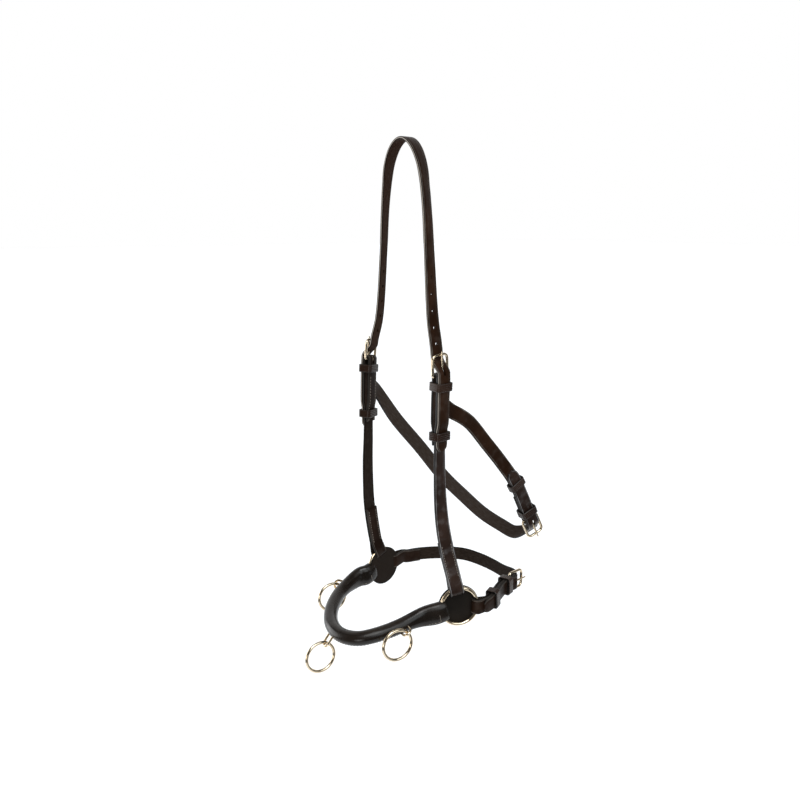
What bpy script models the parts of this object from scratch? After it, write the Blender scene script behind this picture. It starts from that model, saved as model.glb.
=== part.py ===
"""Lunging cavesson: rolled leather noseband with three rings, cheeks, headpiece, jowl and chin straps.

The frame is the horse's own: +X is forward, +Y is the near (left) side and +Z is up.
The origin is on the underside of the headpiece, where it rests on the poll.
"""
import math

import bmesh
import bpy
from mathutils import Matrix, Vector

# Leather
STRAP_WIDTH = 0.016
STRAP_THICK = 0.0028
EDGE_CHAMFER = 0.0006
SEAT_GAP = 0.0003
SLIDE_GAP = 0.0005
LAYER_GAP = 0.0005

# Overall layout
HALF_WIDTH = 0.076
HEAD_DROP = 0.246
HEAD_SWAY = 0.018
CHEEK_LENGTH = 0.238
CHEEK_SWAY = 0.020
RING_SET_BACK = 0.020
NOSE_LENGTH = 0.114
NOSE_FALL = 0.028
CHIN_LENGTH = 0.116
CHIN_FALL = 0.004
JOWL_LENGTH = 0.150
JOWL_FALL = 0.182

# Side rings and the leather safes behind them
SIDE_RING_INSIDE = 0.038
SIDE_RING_WIRE = 0.004
NEAR_TOE_IN = math.radians(22)
FAR_TOE_IN = math.radians(9)
SAFE_OVERHANG = 0.0004
SAFE_THICK = 0.0022

# Noseband
ROLL_RADIUS = 0.0082
ROLL_WALL = 0.0028
TAB_HALF_HEIGHT = 0.0108
TAB_HALF_THICK = 0.0047
TAB_INSIDE_RING = 0.0062
TAB_LENGTH = 0.020
TAB_DIP = math.radians(13)
TAB_SQUARENESS = 4.5
TAB_END_SHARE = 0.86
ROUND = 2
CORE_START = 0.024
CORE_END_RADIUS = 0.0016
CORE_TAPER = 0.026
VENT_RADIUS = 0.0012

# Nose rings and their wire eyes
NOSE_RING_INSIDE = 0.0302
NOSE_RING_WIRE = 0.0036
EYE_WIRE = 0.0028
EYE_SPREAD = 0.0100
EYE_STAND = 0.0045
EYE_ROOT_DEPTH = 0.0062
EYE_PLAY = 0.0007

# Buckles
BUCKLE_WIRE = 0.0032
BUCKLE_INSIDE_WIDTH = 0.0174
BUCKLE_HEIGHT = 0.0226
BUCKLE_FOOT_RADIUS = 0.0026
BUCKLE_HEAD_RADIUS = 0.0050
TONGUE_WIRE = 0.0024
TONGUE_OVERHANG = 0.0030
TONGUE_KNOT_SHARES = (0.33, 0.66, 1.0)
TONGUE_SLOT_CLEARANCE = 0.0005
TONGUE_SLOT_REACH = 0.0054
BILLET_SLOT_START = 0.0040
BILLET_SLOT_END = 0.0190
BILLET_CROSS_START = 0.0030
BILLET_CROSS_END = 0.0182
HOLE_DIAMETER = 0.0038
HOLE_SPACING = 0.0172
CUT_OVERRUN = 0.004

# Keepers
KEEPER_WALL = 0.0019
KEEPER_LENGTH = 0.0092
KEEPER_TRAVEL = 0.0040
KEEPER_EASE = 0.0025
KEEPER_CORNER = 0.0016

# Lengths along the straps, from the bar of each buckle
CHEEK_BILLET_TAIL = 0.080
CHEEK_TURN_BACK = 0.076
CHEEK_FILLED = 0.048
RING_TURN_BACK = 0.060
FIXED_KEEPER = 0.0108
CHEEK_RUNNING_KEEPER = 0.0640
JOWL_BELOW_BAR = 0.028
JOWL_TUCK = 0.002
JOWL_IN_PLANE = 0.022
JOWL_SLOPE = math.radians(33)
JOWL_BILLET_TAIL = 0.072
JOWL_TURN_BACK = 0.036
JOWL_RUNNING_KEEPER = 0.0530
CHIN_BILLET_TAIL = 0.072
CHIN_TURN_BACK = 0.034
CHIN_RING_TURN_BACK = 0.040
CHIN_RUNNING_KEEPER = 0.0490
# The slack straps turn a corner inside the frame
CORNER_LEAD = 0.010
CORNER_START = 0.012
CORNER_RADIUS = 0.012
CORNER_STEPS = 3
TIP_LENGTH = 0.0085
TIP_FIRST_STEP = 0.0028
TIP_BLUNT_SHARE = 0.45

# Where the straps leave the side rings: lean of the cheeks, dip of the chin straps
NEAR_CHEEK_LEAN = math.radians(12)
FAR_CHEEK_LEAN = math.radians(17)
NEAR_CHIN_DIP = math.radians(4)
FAR_CHIN_DIP = math.radians(-3)
NEAR_CHIN_TURN_IN = math.radians(25)
FAR_CHIN_TURN_IN = math.radians(0)

# Facets
STRAP_STEP = 0.0145
STRAP_STEP_MIN = 0.0018
FOLD_STEPS = 7
CROSS_STEPS = 8
ROLL_SIDES = 14
ROLL_STEP = 0.0115
TAB_STEP = 0.0086
CORE_SIDES = 8
RING_SEGMENTS = 32
WIRE_SIDES = 8
HOLE_SIDES = 8
LINE_STEPS = 12
CORNER_CUTS = 4
KEEPER_CORNER_CUTS = 3
HOOK_CUTS = 8
EYE_CUTS = 8
ROOM_STEP_SHARE = 1 / 3
SMOOTH_ANGLE = math.radians(40)
SAFE_SMOOTH_ANGLE = math.radians(30)

# Angles of the bent pieces
BACK = -math.pi / 2
FRONT = math.pi / 2
HOOK_START = math.radians(-30)
HOOK_TURN = math.radians(-240)

# Punched holes of the headpiece, counted from each buckle's bar
HEAD_HOLES = range(2, 7)

LEATHER = ("leather_dark_brown", (0.035, 0.020, 0.014, 1.0), 0.42, 0.0)
LEATHER_ROLLED = ("leather_rolled", (0.022, 0.015, 0.012, 1.0), 0.36, 0.0)
BRASS = ("pale_brass", (0.78, 0.66, 0.45, 1.0), 0.18, 1.0)
CORE_CORD = ("core_cord", (0.45, 0.38, 0.28, 1.0), 0.80, 0.0)

UP = Vector((0, 0, 1))


# Routes
# Each row is (x, y, z) in shares of the sizes named beside the table, then the way the
# outer face looks: its turn from the side toward the front, and its lift, in degrees.

# x of CHEEK_SWAY, y of HALF_WIDTH, z of CHEEK_LENGTH up from the ring
NEAR_CHEEK_SHARES = [
    (-0.16, 0.965, 0.20, 17, 0),
    (0.10, 0.955, 0.30, 10, 0),
    (0.28, 0.945, 0.42, 0, 0),
    (0.35, 0.935, 0.57, -8, 0),
    (0.36, 0.93, 0.68, -11, 0),
    (0.35, 0.93, 0.80, -10, 0),
    (0.34, 0.935, 0.91, -8, 0),
]
FAR_CHEEK_SHARES = [
    (-0.13, 0.96, 0.20, 8, 0),
    (0.03, 0.945, 0.29, 9, 0),
    (0.10, 0.935, 0.39, 12, 0),
    (0.12, 0.93, 0.50, 15, 0),
    (0.09, 0.925, 0.60, 19, 0),
    (0.06, 0.925, 0.73, 23, 0),
    (0.03, 0.93, 0.87, 25, 0),
]
# x of HEAD_SWAY, y of HALF_WIDTH, z of HEAD_DROP down from the poll
NEAR_HEAD_SHARES = [
    (0.38, 0.95, 1.00, -5, 0),
    (0.60, 0.97, 0.866, -5, 2),
    (0.84, 0.965, 0.752, -8, 3),
    (0.98, 0.91, 0.48, -18, 5),
    (0.88, 0.81, 0.305, -23, 10),
    (0.65, 0.67, 0.195, -25, 22),
    (0.38, 0.51, 0.117, -22, 38),
    (0.10, 0.25, 0.037, -15, 62),
]
FAR_HEAD_SHARES = [
    (-0.07, 0.945, 1.00, 25, 0),
    (-0.26, 0.955, 0.90, 26, 1),
    (-0.64, 0.955, 0.80, 27, 2),
    (-0.93, 0.91, 0.50, 30, 5),
    (-0.82, 0.80, 0.295, 28, 10),
    (-0.52, 0.63, 0.178, 24, 22),
    (-0.20, 0.45, 0.102, 20, 40),
    (0.00, 0.22, 0.030, 16, 65),
]
# x of NOSE_LENGTH and z of NOSE_FALL from the rings, y of HALF_WIDTH
NOSE_SHARES = [
    (0.34, 0.76, 0.35),
    (0.47, 0.71, 0.47),
    (0.62, 0.66, 0.62),
    (0.79, 0.575, 0.78),
    (0.92, 0.44, 0.92),
    (0.985, 0.25, 0.99),
    (1.00, 0.03, 1.00),
    (0.955, -0.24, 0.95),
    (0.86, -0.49, 0.85),
    (0.74, -0.69, 0.73),
    (0.61, -0.845, 0.60),
    (0.45, -0.95, 0.44),
    (0.30, -0.99, 0.29),
]
# x of CHIN_LENGTH and z of CHIN_FALL from the rings, y of HALF_WIDTH, each strap from its
# ring to the buckle's bar; the bar comes with the way of the strap there
CHIN_NEAR_SHARES = [
    (-0.431, 1.013, 0.0),
    (-0.569, 0.888, 0.10),
]
CHIN_BAR_SHARES = (-0.776, 0.776, 0.25)
CHIN_WAY = (-0.98, -0.17, 0.0)
CHIN_FAR_SHARES = [
    (-0.985, 0.33, -0.35),
    (-1.00, 0.00, -0.35),
    (-0.985, -0.32, -0.30),
    (-0.925, -0.62, -0.20),
    (-0.75, -0.87, -0.10),
    (-0.52, -1.03, 0.0),
    (-0.37, -1.08, 0.0),
]
# x of JOWL_LENGTH, y of HALF_WIDTH, z of JOWL_FALL below where the straps leave the cheeks;
# then the outer face as a direction
JOWL_NEAR_SHARES = [
    (-0.262, 0.83, 0.142, (-0.10, 0.99, 0.00)),
    (-0.446, 0.80, 0.297, (0.00, 0.99, 0.05)),
    (-0.614, 0.785, 0.447, (0.05, 0.99, 0.05)),
    (-0.744, 0.78, 0.579, (0.08, 0.99, 0.05)),
]
JOWL_BAR_SHARES = (-0.927, 0.78, 0.858)
JOWL_WAY = (-0.42, 0.08, -0.90)
JOWL_BAR_FACE = (0.20, 0.97, 0.00)
JOWL_FAR_SHARES = [
    (-0.99, 0.36, 1.02, (-0.85, 0.15, -0.40)),
    (-0.945, 0.13, 0.99, (-0.80, -0.10, -0.45)),
    (-0.865, -0.17, 0.922, (-0.70, -0.45, -0.30)),
    (-0.79, -0.53, 0.817, (-0.55, -0.75, -0.15)),
    (-0.66, -0.71, 0.687, (-0.40, -0.88, 0.00)),
    (-0.47, -0.85, 0.472, (-0.30, -0.92, 0.00)),
    (-0.25, -0.95, 0.247, (-0.10, -0.95, 0.00)),
]


# Eyes of the noseband: share of its length from the near ring, height as a share of
# EYE_STAND, then in degrees the lift of the eye and the tilt of its legs, the turn of the
# ring's face from the side toward the front, and the ring's lean
NOSE_EYE_SHARES = [
    ("near_nose", 0.192, 1.0, -8, 20, 8, 42),
    ("centre_nose", 0.512, 1.8, -54, 0, 4, 26),
    ("far_nose", 0.84, 1.0, 0, -38, 8, 24),
]


def clear_scene():
    for item in list(bpy.data.objects):
        bpy.data.objects.remove(item, do_unlink=True)


def new_collection(name):
    collection = bpy.data.collections.new(name)
    bpy.context.scene.collection.children.link(collection)
    return collection


def material(spec):
    name, colour, roughness, metallic = spec
    found = bpy.data.materials.get(name)
    if found:
        return found
    made = bpy.data.materials.new(name)
    made.use_nodes = True
    shader = made.node_tree.nodes["Principled BSDF"]
    shader.inputs["Base Color"].default_value = colour
    shader.inputs["Roughness"].default_value = roughness
    shader.inputs["Metallic"].default_value = metallic
    return made


def add_mesh_object(name, mesh, spec, collection, matrix=None):
    item = bpy.data.objects.new(name, mesh)
    mesh.materials.append(material(spec))
    collection.objects.link(item)
    if matrix is not None:
        item.matrix_world = matrix
    return item


def add_cutter(name, mesh, matrix, collection):
    cutter = bpy.data.objects.new(name, mesh)
    cutter.matrix_world = matrix
    cutter.hide_render = True
    cutter.display_type = "WIRE"
    collection.objects.link(cutter)
    return cutter


def cut(item, cutter):
    boolean = item.modifiers.new("cut_" + cutter.name, "BOOLEAN")
    boolean.operation = "DIFFERENCE"
    boolean.object = cutter
    boolean.solver = "EXACT"


def smooth(mesh, angle=SMOOTH_ANGLE):
    mesh.shade_smooth()
    mesh.set_sharp_from_angle(angle=angle)


def mesh_from_bmesh(name, bm):
    bmesh.ops.recalc_face_normals(bm, faces=bm.faces)
    mesh = bpy.data.meshes.new(name)
    bm.to_mesh(mesh)
    bm.free()
    smooth(mesh)
    return mesh


class Line:
    """A smooth centre line with a face direction at each point, measured along its length."""

    def __init__(self, points, faces=None):
        self.points = []
        self.normals = []
        last = len(points) - 1
        for i in range(last):
            before = points[max(i - 1, 0)]
            after = points[min(i + 2, last)]
            for k in range(LINE_STEPS):
                t = k / LINE_STEPS
                self.points.append(spline(before, points[i], points[i + 1], after, t))
                if faces:
                    self.normals.append(faces[i].lerp(faces[i + 1], t))
        self.points.append(points[last].copy())
        if faces:
            self.normals.append(faces[last].copy())
        self.lengths = [0.0]
        for a, b in zip(self.points, self.points[1:]):
            self.lengths.append(self.lengths[-1] + (b - a).length)
        self.total = self.lengths[-1]
        self.tangents = []
        for i in range(len(self.points)):
            a = self.points[max(i - 1, 0)]
            b = self.points[min(i + 1, len(self.points) - 1)]
            self.tangents.append((b - a).normalized())
        if not faces:
            self.normals = [UP.cross(t) for t in self.tangents]
        for i, t in enumerate(self.tangents):
            n = self.normals[i]
            self.normals[i] = (n - t * n.dot(t)).normalized()

    def frame(self, s):
        """Point, direction, outward face and side vector at a distance s along the line."""
        i = 0
        while i < len(self.lengths) - 2 and self.lengths[i + 1] < s:
            i += 1
        span = self.lengths[i + 1] - self.lengths[i]
        f = (s - self.lengths[i]) / span
        g = min(max(f, 0.0), 1.0)
        tangent = self.tangents[i].lerp(self.tangents[i + 1], g).normalized()
        if f < 0.0:
            point = self.points[i] + tangent * (s - self.lengths[i])
        elif f > 1.0:
            point = self.points[i + 1] + tangent * (s - self.lengths[i + 1])
        else:
            point = self.points[i].lerp(self.points[i + 1], f)
        normal = self.normals[i].lerp(self.normals[i + 1], g)
        normal = (normal - tangent * normal.dot(tangent)).normalized()
        return point, tangent, normal, tangent.cross(normal)

    def matrix(self, s, flip=False):
        """Local frame at s: X across the strap, Y along it, Z out of its face."""
        point, tangent, normal, side = self.frame(s)
        if flip:
            tangent = -tangent
            side = -side
        rotation = Matrix((side, tangent, normal)).transposed().to_4x4()
        return Matrix.Translation(point) @ rotation


def spline(p0, p1, p2, p3, t):
    """Point on the centripetal Catmull-Rom curve between p1 and p2."""
    d2 = math.sqrt((p2 - p1).length)
    d1 = math.sqrt((p1 - p0).length) or d2
    d3 = math.sqrt((p3 - p2).length) or d2
    m1 = p2 - p1
    m2 = p2 - p1
    if p0 != p1:
        m1 = ((p1 - p0) / d1 - (p2 - p0) / (d1 + d2) + (p2 - p1) / d2) * d2
    if p3 != p2:
        m2 = ((p2 - p1) / d2 - (p3 - p1) / (d2 + d3) + (p3 - p2) / d3) * d2
    t2 = t * t
    t3 = t2 * t
    return p1 * (2 * t3 - 3 * t2 + 1) + m1 * (t3 - 2 * t2 + t) + p2 * (3 * t2 - 2 * t3) + m2 * (t3 - t2)


def ease(a, b, t):
    """Value that leaves a and reaches b without a kink."""
    t = min(max(t, 0.0), 1.0)
    return a + (b - a) * t * t * (3 - 2 * t)


def steps_between(a, b, step):
    """Evenly spaced values from a to b, about one step apart, both ends included."""
    count = max(2, int(round(abs(b - a) / step)) + 1)
    return [a + (b - a) * k / (count - 1) for k in range(count)]


def filled_in(marks):
    """The marks in order, with even steps filled in between them."""
    marks = sorted(marks)
    rows = [marks[0]]
    for a, b in zip(marks, marks[1:]):
        if b - a > STRAP_STEP_MIN:
            rows += steps_between(a, b, STRAP_STEP)[1:]
    return rows


def corner(bar, way, face):
    """Route of a slack strap past the bar of its buckle and round a corner inside the frame."""
    points = [bar - way * CORNER_LEAD, bar, bar + way * CORNER_START]
    centre = points[-1] - face * CORNER_RADIUS
    for k in range(1, CORNER_STEPS + 1):
        angle = math.pi / 2 * k / CORNER_STEPS
        points.append(centre + (face * math.cos(angle) + way * math.sin(angle)) * CORNER_RADIUS)
    return points


def fold(centre, radius, start, end, steps=FOLD_STEPS):
    """Points (s, n) of a strap bent round a bar at s = centre."""
    arc = []
    for k in range(steps + 1):
        angle = start + (end - start) * k / steps
        arc.append((centre + radius * math.cos(angle), radius * math.sin(angle)))
    return arc


def stations(line, path, flip=False):
    """Centre and side vector of a strap for each (s, n) of its path along a line."""
    rows = []
    for s, n in path:
        point, _, normal, side = line.frame(s)
        rows.append((point + normal * n, -side if flip else side))
    return rows


def strap_section(width, thick):
    """Outline across a strap: a flat bar with its four edges taken off."""
    c = EDGE_CHAMFER
    a = width / 2
    b = thick / 2
    return [(a - c, b), (-a + c, b), (-a, b - c), (-a, -b + c),
            (-a + c, -b), (a - c, -b), (a, -b + c), (a, b - c)]


def loft(name, rows, sections, spec, collection):
    """Closed solid through outlines set square to the run of the rows."""
    bm = bmesh.new()
    rings = []
    last = len(rows) - 1
    for i, (centre, side) in enumerate(rows):
        ahead = rows[min(i + 1, last)][0] - rows[max(i - 1, 0)][0]
        across = (side - ahead * side.dot(ahead) / ahead.length_squared).normalized()
        face = across.cross(ahead).normalized()
        rings.append([bm.verts.new(centre + across * x + face * y) for x, y in sections[i]])
    for a, b in zip(rings, rings[1:]):
        for k in range(len(a)):
            j = (k + 1) % len(a)
            bm.faces.new((a[k], a[j], b[j], b[k]))
    bm.faces.new(rings[0])
    bm.faces.new(list(reversed(rings[-1])))
    return add_mesh_object(name, mesh_from_bmesh(name, bm), spec, collection)


def tip_widths(rows, start_tip, end_tip):
    """Width at each station, drawn in to a pointed tip at the ends that are billets."""
    lengths = [0.0]
    for a, b in zip(rows, rows[1:]):
        lengths.append(lengths[-1] + (b[0] - a[0]).length)
    total = lengths[-1]
    widths = []
    for d in lengths:
        share = 1.0
        if start_tip:
            share = min(share, tip_share(d))
        if end_tip:
            share = min(share, tip_share(total - d))
        widths.append(STRAP_WIDTH * share)
    return widths


def tip_share(distance):
    """Share of the strap's width at a distance from the rounded end of a billet."""
    left = max(0.0, 1 - distance / TIP_LENGTH)
    return TIP_BLUNT_SHARE + (1 - TIP_BLUNT_SHARE) * math.sqrt(1 - left * left)


def strap(name, rows, collection, start_tip=False, end_tip=False):
    widths = tip_widths(rows, start_tip, end_tip)
    sections = [strap_section(w, STRAP_THICK) for w in widths]
    return loft(name, rows, sections, LEATHER, collection)


def tube(name, points, diameter, spec, collection, cyclic=False, matrix=None):
    """Round wire along points, as a curve with a round bevel and closed ends."""
    curve = bpy.data.curves.new(name, "CURVE")
    curve.dimensions = "3D"
    curve.bevel_depth = diameter / 2
    curve.bevel_resolution = 2
    curve.use_fill_caps = not cyclic
    run = curve.splines.new("POLY")
    run.points.add(len(points) - 1)
    for target, point in zip(run.points, points):
        target.co = (point[0], point[1], point[2], 1.0)
    run.use_cyclic_u = cyclic
    curve.materials.append(material(spec))
    item = bpy.data.objects.new(name, curve)
    collection.objects.link(item)
    if matrix is not None:
        item.matrix_world = matrix
    return item


def torus(name, radius, wire, spec, collection, matrix, segments=RING_SEGMENTS):
    bpy.ops.mesh.primitive_torus_add(major_segments=segments, minor_segments=WIRE_SIDES,
                                     major_radius=radius, minor_radius=wire / 2)
    item = bpy.context.object
    item.name = name
    item.data.name = name
    for owner in list(item.users_collection):
        owner.objects.unlink(item)
    collection.objects.link(item)
    item.matrix_world = matrix
    item.data.shade_smooth()
    if spec:
        item.data.materials.append(material(spec))
    return item


def box_mesh(name, size_x, size_y, size_z, centre=(0, 0, 0)):
    bm = bmesh.new()
    bmesh.ops.create_cube(bm, size=1.0)
    bmesh.ops.scale(bm, vec=(size_x, size_y, size_z), verts=bm.verts)
    bmesh.ops.translate(bm, vec=centre, verts=bm.verts)
    mesh = bpy.data.meshes.new(name)
    bm.to_mesh(mesh)
    bm.free()
    return mesh


def drum_mesh(name, radius, depth, sides, centre=(0, 0, 0)):
    bm = bmesh.new()
    bmesh.ops.create_cone(bm, cap_ends=True, segments=sides, radius1=radius, radius2=radius, depth=depth)
    bmesh.ops.translate(bm, vec=centre, verts=bm.verts)
    mesh = bpy.data.meshes.new(name)
    bm.to_mesh(mesh)
    bm.free()
    return mesh


# Layers of leather, counted from the middle plane of a strap
BAR_LAYER = BUCKLE_WIRE / 2 + SEAT_GAP + STRAP_THICK / 2
SEWN_LAYER = STRAP_THICK / 2 + LAYER_GAP / 2
PLY = STRAP_THICK + LAYER_GAP
RING_RADIUS = (SIDE_RING_INSIDE + SIDE_RING_WIRE) / 2
# How far the ring's wire curves away over half the width of a strap
RING_SAG = RING_RADIUS - math.sqrt(RING_RADIUS ** 2 - (STRAP_WIDTH / 2) ** 2)
RING_LAYER = SIDE_RING_WIRE / 2 + SLIDE_GAP + RING_SAG / 2 + STRAP_THICK / 2
RING_NECK = 0.015
BAR_NECK = 0.0115


def ring_side(s):
    """Distance from the middle plane to a layer near a side ring."""
    return SEWN_LAYER + (RING_LAYER - SEWN_LAYER) * max(0.0, 1 - s / RING_NECK)


def ring_fold(knots):
    """Path of a strap's turned end, its fold round a side ring and its outer layer."""
    rows = [(s, -ring_side(s)) for s in reversed(knots)]
    return rows + fold(-RING_SAG / 2, RING_LAYER, BACK + 2 * math.pi, FRONT)


class Chape:
    """A strap that carries a buckle: where its layers lie along its line.

    The layers share their stations, so that they lie flat on one another.
    """

    def __init__(self, line, bar_at, turn_back, tail, ring_turn_back=0.0, filled=0.0):
        self.line = line
        self.bar = bar_at
        self.turned = bar_at - turn_back
        self.tip = bar_at - tail
        self.ring_turn_back = ring_turn_back
        self.neck_end = bar_at - filled
        self.neck_start = self.neck_end - BAR_NECK
        marks = [self.turned, self.tip, self.tip + TIP_FIRST_STEP, self.tip + TIP_LENGTH,
                 self.neck_start, self.neck_start + BAR_NECK / 2]
        if ring_turn_back:
            marks += [RING_NECK / 2, RING_NECK, ring_turn_back]
        else:
            marks += [0.0, JOWL_IN_PLANE, JOWL_IN_PLANE + BAR_NECK]
        if filled:
            marks += [self.neck_end, bar_at - BAR_NECK / 2]
        self.knots = filled_in(marks)

    def inner(self, s):
        """Depth of the layer turned back from the bar, below the line."""
        return ease(SEWN_LAYER, BAR_LAYER, (s - self.neck_start) / BAR_NECK)

    def outer(self, s):
        """Height of the outer layer's middle above the line."""
        if self.ring_turn_back:
            return max(self.inner(s), ring_side(s))
        return ease(0.0, self.inner(s), (s - JOWL_IN_PLANE) / BAR_NECK)

    def path(self):
        rows = []
        if self.ring_turn_back:
            rows += ring_fold([s for s in self.knots if s <= self.ring_turn_back])
        rows += [(s, self.outer(s)) for s in self.knots]
        rows += fold(self.bar, BAR_LAYER, FRONT, BACK)
        back = [s for s in self.knots if s >= self.turned]
        rows += [(s, -self.inner(s)) for s in reversed(back)]
        return rows

    def billet(self):
        """Path of the billet from its tip, over the chape and through the frame."""
        rows = [(s, self.outer(s) + PLY) for s in self.knots if s >= self.tip]
        if self.neck_end == self.bar:
            rows.append((self.bar - BILLET_CROSS_START, BAR_LAYER + PLY))
        cross = BILLET_CROSS_END - BILLET_CROSS_START
        for k in range(CROSS_STEPS + 1):
            t = k / CROSS_STEPS
            rows.append((self.bar + BILLET_CROSS_START + cross * t, ease(BAR_LAYER + PLY, -BAR_LAYER, t)))
        return rows

    def room(self, s, reach):
        """Half width, lowest and highest surface of the layers within a reach of s, seen from s."""
        origin, _, normal, side = self.line.frame(s)
        doubled = s > self.turned or s < self.ring_turn_back
        sides = []
        lows = []
        highs = []
        for e in steps_between(s - reach, s + reach, reach * ROOM_STEP_SHARE):
            point, _, face, across = self.line.frame(e)
            under = -self.inner(e) if doubled else self.outer(e)
            over = self.outer(e) + PLY
            for edge in (STRAP_WIDTH / 2, -STRAP_WIDTH / 2):
                foot = point + across * edge - origin
                sides.append(abs(foot.dot(side)))
                lows.append((foot + face * under).dot(normal))
                highs.append((foot + face * over).dot(normal))
        return max(sides), min(lows) - STRAP_THICK / 2, max(highs) + STRAP_THICK / 2


def buckle_frame_points():
    """Rounded rectangle of the frame: the bar lies along X at y = 0, the head above it."""
    half = (BUCKLE_INSIDE_WIDTH + BUCKLE_WIRE) / 2
    corners = [
        (half, 0.0, BUCKLE_FOOT_RADIUS, -1, 1, -90),
        (half, BUCKLE_HEIGHT, BUCKLE_HEAD_RADIUS, -1, -1, 0),
        (-half, BUCKLE_HEIGHT, BUCKLE_HEAD_RADIUS, 1, -1, 90),
        (-half, 0.0, BUCKLE_FOOT_RADIUS, 1, 1, 180),
    ]
    points = []
    for x, y, r, sx, sy, start in corners:
        for k in range(CORNER_CUTS + 1):
            angle = math.radians(start) + FRONT * k / CORNER_CUTS
            points.append((x + sx * r + r * math.cos(angle), y + sy * r + r * math.sin(angle), 0.0))
    return points


TONGUE_RIDE = BUCKLE_WIRE / 2 + SEAT_GAP + TONGUE_WIRE / 2


def tongue_points():
    """Hook round the bar, then straight over the head of the frame."""
    points = []
    for k in range(HOOK_CUTS + 1):
        angle = HOOK_START + HOOK_TURN * k / HOOK_CUTS
        points.append((0.0, TONGUE_RIDE * math.cos(angle), TONGUE_RIDE * math.sin(angle)))
    reach = BUCKLE_HEIGHT + BUCKLE_WIRE / 2 + TONGUE_OVERHANG
    for length_share in TONGUE_KNOT_SHARES:
        points.append((0.0, reach * length_share, TONGUE_RIDE))
    return points


def keeper(name, line, s, room, collection):
    """Leather loop round everything in a room: half width, lowest and highest surface at s."""
    widest, low, high = room
    half_width = widest + SLIDE_GAP
    bottom = low - SLIDE_GAP
    top = high + SLIDE_GAP
    r = KEEPER_CORNER
    centres = [(half_width - r, top - r, 0), (-half_width + r, top - r, 90),
               (-half_width + r, bottom + r, 180), (half_width - r, bottom + r, 270)]
    outline = []
    for x, z, start in centres:
        for k in range(KEEPER_CORNER_CUTS + 1):
            angle = math.radians(start) + FRONT * k / KEEPER_CORNER_CUTS
            outline.append((x + r * math.cos(angle), z + r * math.sin(angle)))
    bm = bmesh.new()
    first = [bm.verts.new((x, -KEEPER_LENGTH / 2, z)) for x, z in outline]
    second = [bm.verts.new((x, KEEPER_LENGTH / 2, z)) for x, z in outline]
    for k in range(len(outline)):
        j = (k + 1) % len(outline)
        bm.faces.new((first[k], first[j], second[j], second[k]))
    mesh = mesh_from_bmesh(name, bm)
    item = add_mesh_object(name, mesh, LEATHER, collection, line.matrix(s))
    shell = item.modifiers.new("wall", "SOLIDIFY")
    shell.thickness = KEEPER_WALL
    shell.offset = 1.0
    return item


def billet_hole_cutter(name, line, s, height, collection):
    mesh = drum_mesh(name, HOLE_DIAMETER / 2, STRAP_THICK + CUT_OVERRUN, HOLE_SIDES)
    place = line.matrix(s) @ Matrix.Translation((0, 0, height))
    return add_cutter(name, mesh, place, collection)


def buckle(prefix, chape, parts, cutters, chape_item, billet_item):
    """Frame and tongue on a chape's bar, and the slots that the tongue needs."""
    place = chape.line.matrix(chape.bar)
    tube(prefix + "_buckle", buckle_frame_points(), BUCKLE_WIRE, BRASS, parts, cyclic=True, matrix=place)
    tube(prefix + "_tongue", tongue_points(), TONGUE_WIRE, BRASS, parts, matrix=place)
    width = TONGUE_WIRE + 2 * TONGUE_SLOT_CLEARANCE
    deep = 2 * (BAR_LAYER + STRAP_THICK)
    reach = BAR_LAYER + STRAP_THICK
    slot = box_mesh(prefix + "_chape_slot", width, TONGUE_SLOT_REACH + reach, deep,
                    (0, (reach - TONGUE_SLOT_REACH) / 2, 0))
    cut(chape_item, add_cutter(prefix + "_chape_slot", slot, place, cutters))
    low = TONGUE_RIDE - TONGUE_WIRE / 2 - TONGUE_SLOT_CLEARANCE
    high = TONGUE_RIDE + TONGUE_WIRE + 2 * TONGUE_SLOT_CLEARANCE
    window = box_mesh(prefix + "_billet_slot", width, BILLET_SLOT_END - BILLET_SLOT_START, high - low,
                      (0, (BILLET_SLOT_END + BILLET_SLOT_START) / 2, (high + low) / 2))
    cut(billet_item, add_cutter(prefix + "_billet_slot", window, place, cutters))


def side_point(x, y, z, sign):
    return Vector((x, sign * y, z))


def face_direction(turn, lift, sign):
    a = math.radians(turn)
    b = math.radians(lift)
    return Vector((math.sin(a) * math.cos(b), sign * math.cos(a) * math.cos(b), math.sin(b)))


def side_line(sign, ring, lean, cheek_shares, head_shares):
    """Middle plane of one side, from its ring's wire up to the poll."""
    centre, forward, up, outward = ring
    away = up * math.cos(lean) + forward * math.sin(lean)
    points = [centre + away * RING_RADIUS, centre + away * (RING_RADIUS + RING_NECK)]
    faces = [outward.copy(), outward.copy()]
    base = -HEAD_DROP - CHEEK_LENGTH
    for x, y, z, turn, lift in cheek_shares:
        points.append(side_point(x * CHEEK_SWAY, y * HALF_WIDTH, base + z * CHEEK_LENGTH, sign))
        faces.append(face_direction(turn, lift, sign))
    for x, y, z, turn, lift in head_shares:
        points.append(side_point(x * HEAD_SWAY, y * HALF_WIDTH, -z * HEAD_DROP, sign))
        faces.append(face_direction(turn, lift, sign))
    points.append(Vector((0, 0, STRAP_THICK / 2)))
    faces.append(UP.copy())
    return Line(points, faces)


def ring_frame(sign, toe_in):
    """Centre of a side ring and its forward, up and outward directions."""
    centre = side_point(-RING_SET_BACK, HALF_WIDTH, -HEAD_DROP - CHEEK_LENGTH - RING_RADIUS, sign)
    outward = Vector((math.sin(toe_in), sign * math.cos(toe_in), 0))
    forward = Vector((math.cos(toe_in), -sign * math.sin(toe_in), 0))
    return centre, forward, UP.copy(), outward


def bar_distance(line):
    """Distance along a side line at which its cheek buckle's bar lies."""
    for i, point in enumerate(line.points):
        if point.z >= -HEAD_DROP:
            return line.lengths[i]
    return line.total


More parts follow.
